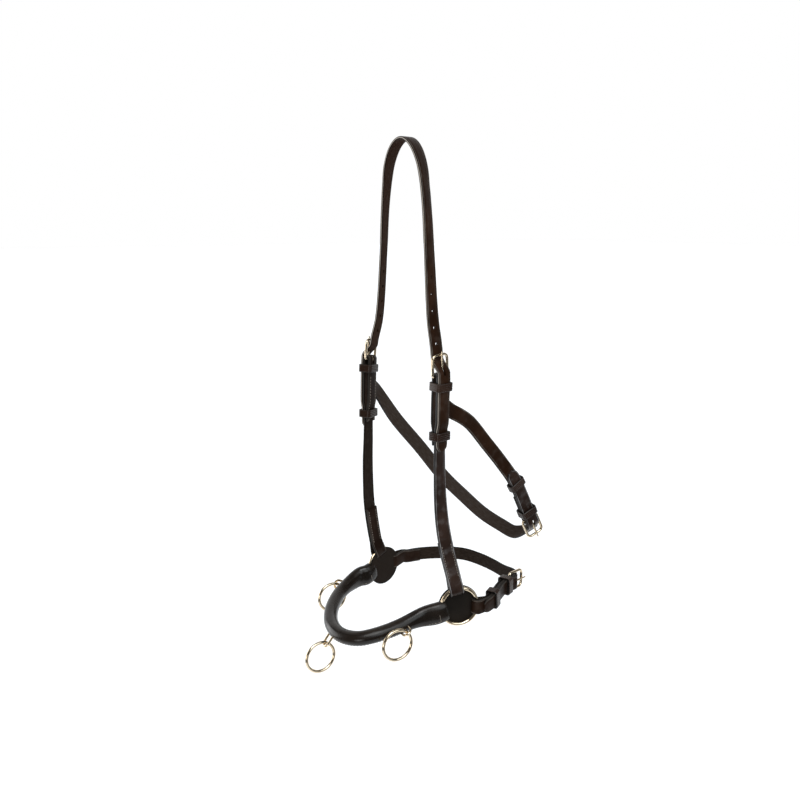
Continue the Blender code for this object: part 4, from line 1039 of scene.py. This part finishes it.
SAFE_LOOK = leather_material(
    "dull_black_brown_leather", (0.0075, 0.0055, 0.0040), (0.0130, 0.0095, 0.0070),
    SOFT_PAINT, SOFT_WEAR_AND_HIGHLIGHT, (0.016, 0.011, 0.008), dullness=0.55, mirror=0.10)
BRASS_LOOK = brass_material()
THREAD_LOOK = thread_material()


# Building pieces
def add_piece(name, mesh, look, body, nodes=()):
    """Put a mesh in the scene on its body, with its finish and the solids it stands for."""
    mesh.materials.clear()
    mesh.materials.append(look)
    item = linked(name, mesh)
    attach(item, body)
    if nodes:
        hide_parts(*nodes)


def brass_piece(name, mesh, body, node):
    add_piece(name, mesh, BRASS_LOOK, body, [node])


def smoothed(mesh):
    mesh.shade_smooth()
    mesh.set_sharp_from_angle(angle=SHARP_ANGLE)
    return mesh


def shaded(mesh):
    """The mesh with its faces turned outward, smooth but at its sharp edges."""
    bm = bmesh.new()
    bm.from_mesh(mesh)
    bmesh.ops.recalc_face_normals(bm, faces=bm.faces)
    bm.to_mesh(mesh)
    bm.free()
    return smoothed(mesh)


def tube_faces(size, count, closed=False):
    """Faces that join rings of points one after another, with caps at the ends unless closed."""
    faces = []
    for i in range(count if closed else count - 1):
        a = i * size
        b = (i + 1) % count * size
        for k in range(size):
            j = (k + 1) % size
            faces.append((a + k, a + j, b + j, b + k))
    if not closed:
        faces.append(tuple(range(size)))
        faces.append(tuple(range((count - 1) * size, count * size)))
    return faces


def skin_mesh(name, rings, closed=False):
    """Mesh through rings of corners: each has a point, its place on the surface and its depth."""
    corners = [corner for ring in rings for corner in ring]
    mesh = bpy.data.meshes.new(name)
    faces = tube_faces(len(rings[0]), len(rings), closed)
    mesh.from_pydata([tuple(corner[0]) for corner in corners], [], faces)
    for k, title in ((1, "run"), (2, "deep")):
        layer = mesh.uv_layers.new(name=title)
        for loop in mesh.loops:
            layer.data[loop.index].uv = corners[loop.vertex_index][k]
    return shaded(mesh)


def leather_section(width, thick):
    """Outline across a strap: crowned face, a crease along each edge, rounded corners."""
    a = width / 2
    b = thick / 2
    third = a / 3
    r = min(EDGE_ROUND, third, b / 2)
    crease = a - min(CREASE_INSET, third)
    crossing = [crease + CREASE_HALF, crease, crease - CREASE_HALF, third]
    crossing += [-x for x in reversed(crossing)]
    points = arc(a - r, b - r, r, 0, 90, CORNER_CUTS)
    for x in crossing:
        dip = CREASE_DEPTH if abs(x) == crease else 0.0
        points.append((x, b + FACE_CROWN * (1 - (x / a) ** 2) - dip))
    points += arc(-a + r, b - r, r, 90, 180, CORNER_CUTS)
    points += arc(-a + r, -b + r, r, 180, 270, CORNER_CUTS)
    return points + [(-third, -b), (third, -b)] + arc(a - r, -b + r, r, 270, 360, CORNER_CUTS)


def strap_mesh(name, rows, bare_edge_and_reflection, start_tip=False, end_tip=False, grain=1,
               width=STRAP_WIDTH, thick=STRAP_THICK):
    """A strap through its stations; grain is 1 where its finished side is its face, else -1.

    The pale middle of its cut edge, from 0 to 1, is partly bare leather where the edge paint has worn off
    and partly a painted reflection of the bright backdrop.
    """
    shares = tip_shares(rows, start_tip, end_tip)
    points = [centre for centre, _ in rows]
    steps = zip(points[:1] + points, points[1:] + points[-1:])
    rings = []
    for (centre, side), (before, after), share, along in zip(rows, steps, shares, lengths_along(points)):
        ahead = after - before
        across = (side - ahead * side.dot(ahead) / ahead.length_squared).normalized()
        face = across.cross(ahead).normalized() * grain
        missing = STRAP_WIDTH * (1 - share) / 2
        rings.append([(centre + across * x + face * y, (along, x + math.copysign(missing, x)),
                       (2 * y / thick, bare_edge_and_reflection)) for x, y in leather_section(width * share, thick)])
    return skin_mesh(name, rings)


def wire_mesh(name, points, radii, closed, cuts=WIRE_CUTS):
    """Round wire along points, with a radius at each."""
    last = len(points) - 1
    rings = []
    normal = None
    along = 0.0
    for i, (point, radius) in enumerate(zip(points, radii)):
        before = points[i - 1] if closed or i else point
        after = points[(i + 1) % (last + 1)] if closed or i < last else point
        tangent = (after - before).normalized()
        normal = square_to(tangent, normal or tangent.orthogonal())
        side = tangent.cross(normal)
        rings.append([(point + turned(normal, side, angle) * radius,
                       (along, radius * min(angle, 2 * math.pi - angle)), PLAIN)
                      for angle in turns(cuts)])
        along += (after - before).length / 2
    return skin_mesh(name, rings, closed)


def rounded_ends(points, radii):
    """The wire's points and radii with a small dome at both ends."""
    start = points[0]
    end = points[-1]
    head = (start - points[1]).normalized()
    tail = (end - points[-2]).normalized()
    first = radii[0]
    last = radii[-1]
    for degrees in DOME_STEPS:
        out = math.sin(math.radians(degrees))
        left = math.cos(math.radians(degrees))
        points = [start + head * (first * out)] + points + [end + tail * (last * out)]
        radii = [first * left] + radii + [last * left]
    return points, radii


def circle_points(radius, cuts, matrix, height=0.0):
    return [matrix @ Vector((radius * math.cos(angle), radius * math.sin(angle), height))
            for angle in turns(cuts)]


def carve(mesh, cutters):
    """The mesh with the cutters taken out of it."""
    item = linked("carved", mesh)
    for cutter in cutters:
        boolean = item.modifiers.new("cut", "BOOLEAN")
        boolean.operation = "DIFFERENCE"
        boolean.object = cutter
        boolean.solver = "EXACT"
    bpy.context.view_layer.update()
    shape = item.evaluated_get(bpy.context.evaluated_depsgraph_get())
    result = bpy.data.meshes.new_from_object(shape)
    for spent in [item] + cutters:
        bpy.data.objects.remove(spent, do_unlink=True)
    return smoothed(result)


# Thread
def place_on(point, along, face):
    """Frame of a stitch: Y along the seam, Z out of the leather."""
    along = along.normalized()
    face = square_to(along, face)
    return placed(point, along.cross(face), along, face)


def stitches(name, places):
    """All the stitches of some pieces in one mesh, one closed stitch at each place."""
    base = []
    for along, thick in STITCH_SHARES:
        r = STITCH_RADIUS * thick
        base += [Vector((r * math.cos(angle), STITCH_LENGTH / 2 * along, r * math.sin(angle)))
                 for angle in turns(STITCH_SIDES)]
    faces = tube_faces(STITCH_SIDES, len(STITCH_SHARES))
    verts = []
    polygons = []
    for place in places:
        start = len(verts)
        verts += [tuple(place @ p) for p in base]
        polygons += [tuple(start + v for v in face) for face in faces]
    mesh = bpy.data.meshes.new(name)
    mesh.from_pydata(verts, [], polygons)
    add_piece(name, shaded(mesh), THREAD_LOOK, "harness")


def seam(line, start, end, across, height, sign):
    """Stitches in a row along a line, at an offset across it, outside where sign is 1."""
    lift = sign * (STRAP_THICK / 2 + FACE_CROWN / 2)

    def foot(s):
        point, _, normal, side = line.frame(s)
        return point + side * across + normal * (height(s) + lift)

    places = stitch_places(start, end)
    step = places[1] - places[0]
    return [place_on(foot(s), foot(s + step) - foot(s), line.frame(s)[2] * sign) for s in places]


def chape_seams(chape):
    """Both rows of stitches where a strap's two layers are sewn together, outside and inside."""
    spans = [(chape.turned + STITCH_INSET, chape.bar - (FIXED_KEEPER + KEEPER_LENGTH))]
    if chape.ring_turn_back:
        spans.append((RING_NECK, chape.ring_turn_back - STITCH_INSET))
    edge = STRAP_WIDTH / 2 - STITCH_INSET
    rows = []
    for across in (edge, -edge):
        for start, end in spans:
            rows += seam(chape.line, start, end, across, chape.outer, 1)
            rows += seam(chape.line, start, end, across, lambda s: -chape.inner(s), -1)
    return rows


# Leather straps
def chape_piece(name, chape, bare_edge_and_reflection, look):
    strap_piece(name, stations(chape.line, chape.path()), bare_edge_and_reflection, [chape_window(chape)], look)


def strap_piece(name, rows, bare_edge_and_reflection, cutters, look, **form):
    """A strap through its stations, with its holes and slots, standing for one solid."""
    mesh = carve(strap_mesh(name, rows, bare_edge_and_reflection, **form), cutters)
    add_piece(name + "_leather", mesh, look, "harness", [name])


def slot_cutter(chape, start, end, low, high):
    """Room for a tongue: from start to end past the bar, from low to high across the strap."""
    width = TONGUE_WIRE + 2 * TONGUE_SLOT_CLEARANCE
    return box_cutter((width, end - start, high - low), (0, (end + start) / 2, (high + low) / 2),
                      chape.line.matrix(chape.bar))


def tongue_window(chape):
    """Slot through a billet where the tongue passes."""
    low = TONGUE_RIDE - TONGUE_WIRE / 2 - TONGUE_SLOT_CLEARANCE
    high = TONGUE_RIDE + TONGUE_WIRE + 2 * TONGUE_SLOT_CLEARANCE + TONGUE_SLOT_RISE
    return slot_cutter(chape, BILLET_SLOT_START, BILLET_SLOT_END, low, high)


def chape_window(chape):
    """Slot through the fold of a chape, round the bar, where the tongue hooks on."""
    reach = BAR_LAYER + STRAP_THICK
    return slot_cutter(chape, -TONGUE_SLOT_REACH, reach, -reach, reach)


def billet_holes(chape):
    cutters = []
    for k in HEAD_HOLES:
        s = chape.bar + HOLE_SPACING * k
        place = chape.line.matrix(s) @ Matrix.Translation((0, 0, head_height(chape, s)))
        bm = bmesh.new()
        bmesh.ops.create_cone(bm, cap_ends=True, segments=HOLE_CUTS, radius1=HOLE_DIAMETER / 2,
                              radius2=HOLE_DIAMETER / 2, depth=STRAP_THICK + CUT_OVERRUN)
        cutters.append(linked("cutter", mesh_from(bm), place))
    return cutters


def filler(name, chape):
    """Leather laid between the cheek's layers below the buckle, a little narrower than they are."""
    path = [(s, 0.0) for s in steps_between(chape.neck_start, chape.bar - BAR_NECK, STRAP_STEP)]
    thick = 2 * (BAR_LAYER - STRAP_THICK / 2) - FILLER_LACK
    mesh = strap_mesh(name, stations(chape.line, path), CHEEK_EDGE_BARE_AND_REFLECTION,
                      width=STRAP_WIDTH - 2 * FILLER_INSET, thick=thick)
    add_piece(name, mesh, DARK_LOOK, "harness")


def keeper_strip():
    """Outline across a keeper's strip, from one edge over its creased face to the other."""
    half = KEEPER_LENGTH / 2
    e = KEEPER_EDGE
    wall = KEEPER_WALL
    points = [(-half, e), (-half + e / 3, wall - e / 2), (-half + e, wall)]
    for k in range(KEEPER_CREASES):
        y = (2 * half - 2 * e) * ((k + 0.5) / KEEPER_CREASES - 0.5)
        points += [(y - CREASE_HALF, wall), (y, wall - CREASE_DEPTH), (y + CREASE_HALF, wall)]
    points += [(half - e, wall), (half - e / 3, wall - e / 2), (half, e)]
    return points + [(half - e, 0.0), (-half + e, 0.0)]


def keeper_piece(name, chape, back_by, travel, body):
    """Keeper: a creased strip bent round everything that it passes over."""
    s = chape.bar - back_by
    half_width, low, high = chape.room(s, KEEPER_LENGTH / 2 + KEEPER_EASE + travel)
    half_width += SLIDE_GAP
    r = KEEPER_CORNER
    right = half_width - r
    top = high + SLIDE_GAP - r
    bottom = low - SLIDE_GAP + r
    place = chape.line.matrix(s)
    rings = []
    along = 0.0
    for x, z, start in ((right, top, 0), (-right, top, 90), (-right, bottom, 180), (right, bottom, 270)):
        foot = Vector((x, 0, z))
        for k in range(KEEPER_CUTS + 1):
            angle = math.radians(start + 90 * k / KEEPER_CUTS)
            out = Vector((math.cos(angle), 0, math.sin(angle)))
            if rings:
                along += r * math.pi / 2 / KEEPER_CUTS
            rings.append([(place @ (foot + out * (r + h) + Vector((0, y, 0))),
                           (along, y * (STRAP_WIDTH / KEEPER_LENGTH)), (2 * h / KEEPER_WALL - 1, 0.0))
                          for y, h in keeper_strip()])
        along += 2 * half_width
    mesh = skin_mesh(name, rings, closed=True)
    add_piece(name + "_leather", mesh, KEEPER_LOOK, body, [name])


# Metal
def frame_curve():
    """Rounded rectangle of a buckle's frame: the bar along X at y = 0, the head above it."""
    half = (BUCKLE_INSIDE_WIDTH + BUCKLE_WIRE) / 2
    foot = BUCKLE_FOOT_RADIUS
    head = BUCKLE_HEAD_RADIUS
    rise = BUCKLE_HEIGHT - head
    outline = []
    for x, y, r, start in ((half - foot, foot, foot, -90), (half - head, rise, head, 0),
                           (-half + head, rise, head, 90), (-half + foot, foot, foot, 180)):
        outline += arc(x, y, r, start, start + 90, FRAME_CUTS)
    return [Vector((x, y, 0)) for x, y in outline]


def tongue_curve():
    """Hook round the bar, then straight over the head of the frame, thinner toward its point."""
    points = [Vector((0, y, z)) for y, z in arc(0, 0, TONGUE_RIDE, *TONGUE_HOOK, TONGUE_HOOK_CUTS)]
    radii = [TONGUE_WIRE / 2] * len(points)
    reach = BUCKLE_HEIGHT + BUCKLE_WIRE / 2 + TONGUE_OVERHANG - TONGUE_WIRE / 2
    for k in range(1, TONGUE_RUN_CUTS + 1):
        points.append(Vector((0, reach * k / TONGUE_RUN_CUTS, TONGUE_RIDE)))
        radii.append(TONGUE_WIRE / 2 * ease(1.0, TONGUE_POINT_SHARE, 2 * k / TONGUE_RUN_CUTS - 1))
    return points, radii


def buckle_pieces(prefix, chape):
    place = chape.line.matrix(chape.bar)
    outline = [place @ p for p in frame_curve()]
    mesh = wire_mesh(prefix + "_frame", outline, [BUCKLE_WIRE / 2] * len(outline), True)
    brass_piece(prefix + "_buckle_brass", mesh, "harness", prefix + "_buckle")
    points, radii = tongue_curve()
    points, radii = rounded_ends([place @ p for p in points], radii)
    tongue = prefix + "_tongue"
    brass_piece(tongue + "_brass", wire_mesh(tongue, points, radii, False), tongue + "_body", tongue)


def ring_piece(name, radius, wire, matrix):
    points = circle_points(radius, RING_CUTS, matrix)
    mesh = wire_mesh(name, points, [wire / 2] * RING_CUTS, True, 2 * WIRE_CUTS)
    brass_piece(name + "_brass", mesh, name + "_body", name)


def nose_eye_pieces(prefix, line, s, above, angles):
    """Wire eye standing out of the roll, and the ring that hangs through it."""
    point, tangent, outward, _ = line.frame(s)
    lift, tilt, turn, lean = [math.radians(angle) for angle in angles]
    level = Vector((outward.x, outward.y, 0)).normalized()
    stand = turned(level, UP, lift)
    along = square_to(stand, tangent)
    across = turned(along, stand.cross(along), tilt)
    ahead = Vector((math.cos(turn), -math.sin(turn), 0))
    wire_run = turned(ahead, UP, lean)
    down = turned(-UP, ahead, lean)
    half = EYE_SPREAD / 2
    bend = point + stand * (ROLL_RADIUS + above)
    root = point + stand * (ROLL_RADIUS - EYE_ROOT_DEPTH)
    wire = [root + across * half]
    wire += [bend + across * x + stand * y for x, y in arc(0, 0, half, 0, 180, EYE_CUTS)]
    wire.append(root - across * half)
    mesh = wire_mesh(prefix + "_eye", wire, [EYE_WIRE / 2] * len(wire), False)
    brass_piece(prefix + "_eye_brass", mesh, "harness", prefix + "_eye")
    radius = (NOSE_RING_INSIDE + NOSE_RING_WIRE) / 2
    hang = bend + stand * (half - EYE_WIRE / 2 - NOSE_RING_WIRE / 2 - EYE_PLAY)
    place = placed(hang, wire_run, down, wire_run.cross(down)) @ Matrix.Translation((0, radius, 0))
    ring_piece(prefix + "_ring", radius, NOSE_RING_WIRE, place)


# Noseband and safes
def noseband_piece(line, sides):
    """Cover of the noseband: a rolled tube with its seam below, pressed flat at each ring."""
    sections = []
    distances = steps_between(0.0, line.total, ROLL_FINE_STEP)
    for s in [-TAB_END_ROUND] + distances + [line.total + TAB_END_ROUND]:
        point, _, normal, side = line.frame(s)
        from_end = min(s, line.total - s)
        share = TAB_END_ROUND_SHARE if from_end < 0 else 1.0
        wave = ROLL_WAVE_DEPTH * roll_share(from_end)
        section = []
        for turn, (x, y) in zip(turns(ROLL_CUTS, 0.5), nose_section(max(from_end, 0.0))):
            away = (turn - ROLL_SEAM_TURN) / ROLL_SEAM_HALF
            raw = point + side * x + normal * y
            dent = ROLL_SEAM_DEPTH * math.exp(-away * away)
            dent += wave * (noise.noise(raw / ROLL_WAVE_SIZE) + 1) / 2
            dent += ROLL_GRAIN_DEPTH * noise.noise(raw / ROLL_GRAIN_SIZE)
            foot = point + (side * x + normal * y) * (share * (1 - dent / math.hypot(x, y)))
            section.append((foot, (s, max(-TAB_HALF_THICK, min(TAB_HALF_THICK, x))), PLAIN))
        sections.append(section)
    mesh = skin_mesh("noseband", sections)
    tunnels = []
    for side in sides.values():
        points = circle_points(RING_RADIUS, RING_CUTS, side.matrix())
        tunnel = wire_mesh("tunnel", points, [SIDE_RING_WIRE / 2 + SLIDE_GAP] * RING_CUTS, True)
        tunnels.append(linked("tunnel", tunnel))
    nodes = ["noseband", "noseband_core"]
    add_piece("noseband_leather", carve(mesh, tunnels), ROLLED_LOOK, "harness", nodes)


def noseband_seams(line):
    """Stitches along one edge and across each tab, and along the seam under the roll."""
    rows = []
    edge = TAB_HALF_HEIGHT - TAB_SEAM_INSET
    ring = TAB_INSIDE_RING + SIDE_RING_WIRE
    reach = 2 * TAB_INSIDE_RING + TAB_LENGTH / 2
    for start, end in ((ring, reach), (line.total - reach, line.total - ring)):
        for sign in (1, -1):
            rows += [tab_stitch(line, s, -edge, sign) for s in stitch_places(start, end)]
    for s in (ring, line.total - ring):
        for share in TAB_SEAM_SHARES:
            rows += [tab_stitch(line, s, edge * share, sign, crossways=True) for sign in (1, -1)]
    for s in stitch_places(reach, line.total - reach):
        point, tangent, normal, side = line.frame(s)
        out = turned(side, normal, ROLL_STITCH_TURN)
        rows.append(place_on(point + out * (ROLL_RADIUS - ROLL_WAVE_DEPTH / 2), tangent, out))
    return rows


def stitch_places(start, end):
    """Distances of the stitches of a seam between two distances."""
    count = max(2, int((end - start) / STITCH_PITCH))
    return [start + (end - start) * (k + 0.5) / count for k in range(count)]


def tab_height(line, s, across):
    """Half the thickness of the noseband's tab at a distance along it and across it."""
    outline = nose_section(min(s, line.total - s))
    return min(outline, key=lambda p: abs(p[0] - across) + (p[1] < 0))[1]


def tab_stitch(line, s, across, sign, crossways=False):
    """Stitch on the outer face of a tab where sign is 1, on the inner face where it is -1."""
    point, tangent, normal, side = line.frame(s)
    here = point + side * across + normal * (sign * tab_height(line, s, across))
    return place_on(here, side if crossways else tangent, normal * sign)


def safe_notches(side):
    """Way, width and depth of the places where straps pass over a safe's edge."""
    width = STRAP_WIDTH + 2 * SLIDE_GAP
    depth = RING_LAYER + STRAP_THICK / 2 + SEAT_GAP + RING_SAG / 2 - NOTCH_TUCK
    return [(side.cheek_way, width, depth),
            (turned(side.forward, -UP, TAB_DIP), ROLL_RADIUS, TAB_INSIDE_RING / 2),
            (turned(-side.forward, -UP, side.chin_dip), width, depth * math.cos(side.chin_turn_in))]


def safe_piece(name, side):
    """Round patch behind a side ring, with a rounded rim, notched for the straps."""
    radius = RING_RADIUS + SIDE_RING_WIRE / 2 + SAFE_OVERHANG
    inner = radius * SAFE_INNER_SHARE
    front = -(SIDE_RING_WIRE / 2 + SEAT_GAP)
    back = front - SAFE_THICK
    middle = (front + back) / 2
    e = SAFE_EDGE
    third = e / 3
    profile = [(inner, front), (radius / 2, front), (radius - 2 * e, front), (radius - e, front),
               (radius - third, front - third), (radius, front - e), (radius, back + e),
               (radius - third, back + third), (radius - e, back), (radius / 2, back), (inner, back)]
    rings = []
    for r, z in profile:
        points = circle_points(r, SAFE_CUTS, side.matrix(), z)
        across = max(0.0, STRAP_WIDTH / 2 - (radius - r))
        deep = PLAIN if z > middle else (-1.0, 0.0)
        rings.append([(point, (radius * angle, across), deep)
                      for point, angle in zip(points, turns(SAFE_CUTS))])
    mesh = skin_mesh(name, rings)
    cutters = []
    for way, width, depth in safe_notches(side):
        start = RING_RADIUS - depth
        long = radius - start + CUT_OVERRUN
        place = placed(side.centre, way, side.outward.cross(way), side.outward)
        size = (long, width, SAFE_THICK + CUT_OVERRUN)
        cutters.append(box_cutter(size, (start + long / 2, 0, middle), place))
    add_piece(name + "_leather", carve(mesh, cutters), SAFE_LOOK, "harness", [name])


# Camera, lights and floor
def add_camera():
    data = bpy.data.cameras.new("photo_camera")
    data.lens = CAMERA_LENS
    data.sensor_width = CAMERA_SENSOR
    right = Vector((-math.cos(CAMERA_TURN), math.sin(CAMERA_TURN), 0))
    level = Vector((-math.sin(CAMERA_TURN), -math.cos(CAMERA_TURN), 0))
    ahead = turned(level, -UP, CAMERA_PITCH)
    place = placed(CAMERA_PLACE, right, right.cross(ahead), -ahead)
    bpy.context.scene.camera = linked("photo_camera", data, place)


def add_lamp(name, way, spread, power, tint):
    """Soft light that comes from a direction, the same at every place."""
    data = bpy.data.lights.new(name, "SUN")
    data.angle = math.radians(spread)
    data.energy = power
    data.color = tint
    linked(name, data).rotation_euler = Vector(way).to_track_quat("Z", "Y").to_euler()


def add_world():
    """White for whatever looks at it, but mirrored with the dim side of the studio in it."""
    world = bpy.data.worlds.new("studio")
    bpy.context.scene.world = world
    g = Graph(world, "Background")
    g.finish(Color=(*ROOM_TINT, 1.0), Strength=ROOM_LIGHT)
    way = g.add("ShaderNodeTexCoord").outputs["Generated"]
    inputs = {0: way, 1: Vector(DIM_WAY).normalized()}
    towards = g.add("ShaderNodeVectorMath", inputs, operation="DOT_PRODUCT").outputs["Value"]
    level = g.band(towards, DIM_START, DIM_FULL, 1.0, DIM_LIGHT)
    straight = g.add("ShaderNodeLightPath").outputs["Is Camera Ray"]
    inputs = {"Color": (*WHITE, 1.0), "Strength": g.math("MAXIMUM", straight, level)}
    seen = g.add("ShaderNodeBackground", inputs)
    g.show("World Output", g.seen_or_lit(g.shader, seen))


def add_floor():
    """Pale floor, white where it is lit, with a little light of its own for rays that look at it."""
    bm = bmesh.new()
    corners = ((FLOOR_BACK, FLOOR_BACK), (FLOOR_FRONT, FLOOR_BACK),
               (FLOOR_FRONT, FLOOR_FRONT), (FLOOR_BACK, FLOOR_FRONT))
    bm.faces.new([bm.verts.new((x, y, -FLOOR_DROP)) for x, y in corners])
    mesh = mesh_from(bm, "floor")
    floor = linked("floor", mesh)
    g = Graph(bpy.data.materials.new("pale_floor"))
    tone = g.mix(g.noise(g.object_place(), FLOOR_CLOUD_RATE), *FLOOR_TONES)
    mesh.materials.append(g.finish(Base_Color=tone, Roughness=FLOOR_DULLNESS, Specular_IOR_Level=0.0))
    dark = g.add("ShaderNodeEmission", {"Strength": 0.0})
    glow = g.add("ShaderNodeEmission", {"Strength": FLOOR_OWN_LIGHT})
    both = g.add("ShaderNodeAddShader", {0: g.shader.outputs[0], 1: g.seen_or_lit(dark, glow)})
    g.show("Material Output", both.outputs[0])


def main():
    sides = {name: Side(*row) for name, row in SIDES.items()}
    near = sides["near"].chape
    far = sides["far"].chape

    cutters = []
    # The near cheek takes the leather with the painted sheen.
    for prefix, chape, look in (("near", near, WAXED_PAINTED_SHEEN_LOOK), ("far", far, DARK_LOOK)):
        cutters += billet_holes(chape) + [tongue_window(chape)]
        chape_piece(prefix + "_cheekpiece", chape, CHEEK_EDGE_BARE_AND_REFLECTION, look)
        filler(prefix + "_cheek_filler", chape)
        buckle_pieces(prefix + "_cheek", chape)
    strap_piece("headpiece", headpiece_rows(near, far), HEAD_EDGE_BARE_AND_REFLECTION, cutters, LEATHER_LOOK,
                start_tip=True, end_tip=True)

    chin = chin_route(sides["near"], sides["far"])
    chape_piece("chin_buckle_strap", chin, STRAP_EDGE_BARE_AND_REFLECTION, DARK_LOOK)
    strap_piece("chin_strap", chin_strap_rows(chin), STRAP_EDGE_BARE_AND_REFLECTION, [tongue_window(chin)], DARK_LOOK,
                end_tip=True, grain=-1)
    buckle_pieces("chin", chin)

    jowl = jowl_route(sides["near"], sides["far"])
    chape_piece("near_jowl_strap", jowl, STRAP_EDGE_BARE_AND_REFLECTION, LEATHER_LOOK)
    # The far jowl strap takes the leather with the painted sheen.
    strap_piece("far_jowl_strap", jowl_strap_rows(jowl), STRAP_EDGE_BARE_AND_REFLECTION, [tongue_window(jowl)],
                WAXED_PAINTED_SHEEN_LOOK, start_tip=True)
    buckle_pieces("jowl", jowl)

    nose = noseband_line(sides)
    noseband_piece(nose, sides)
    for prefix, share, height_share, *angles in NOSE_EYE_SHARES:
        nose_eye_pieces(prefix, nose, nose.total * share, EYE_STAND * height_share, angles)
    for name, side in sides.items():
        ring_piece(name + "_side_ring", RING_RADIUS, SIDE_RING_WIRE, side.matrix())
    for name, side in sides.items():
        safe_piece(name + "_ring_safe", side)

    places = []
    for prefix, chape, running in (("near_cheek", near, CHEEK_RUNNING_KEEPER),
                                   ("far_cheek", far, CHEEK_RUNNING_KEEPER),
                                   ("chin", chin, CHIN_RUNNING_KEEPER),
                                   ("jowl", jowl, JOWL_RUNNING_KEEPER)):
        places += chape_seams(chape)
        keeper_piece(prefix + "_fixed_keeper", chape, FIXED_KEEPER, 0.0, "harness")
        name = prefix + "_running_keeper"
        keeper_piece(name, chape, running, KEEPER_TRAVEL, name + "_body")
    stitches("strap_stitches", places)
    stitches("noseband_stitches", noseband_seams(nose))

    add_camera()
    for lamp in LAMPS:
        add_lamp(*lamp)
    add_world()
    add_floor()
    bpy.context.scene.view_settings.view_transform = "Standard"


main()
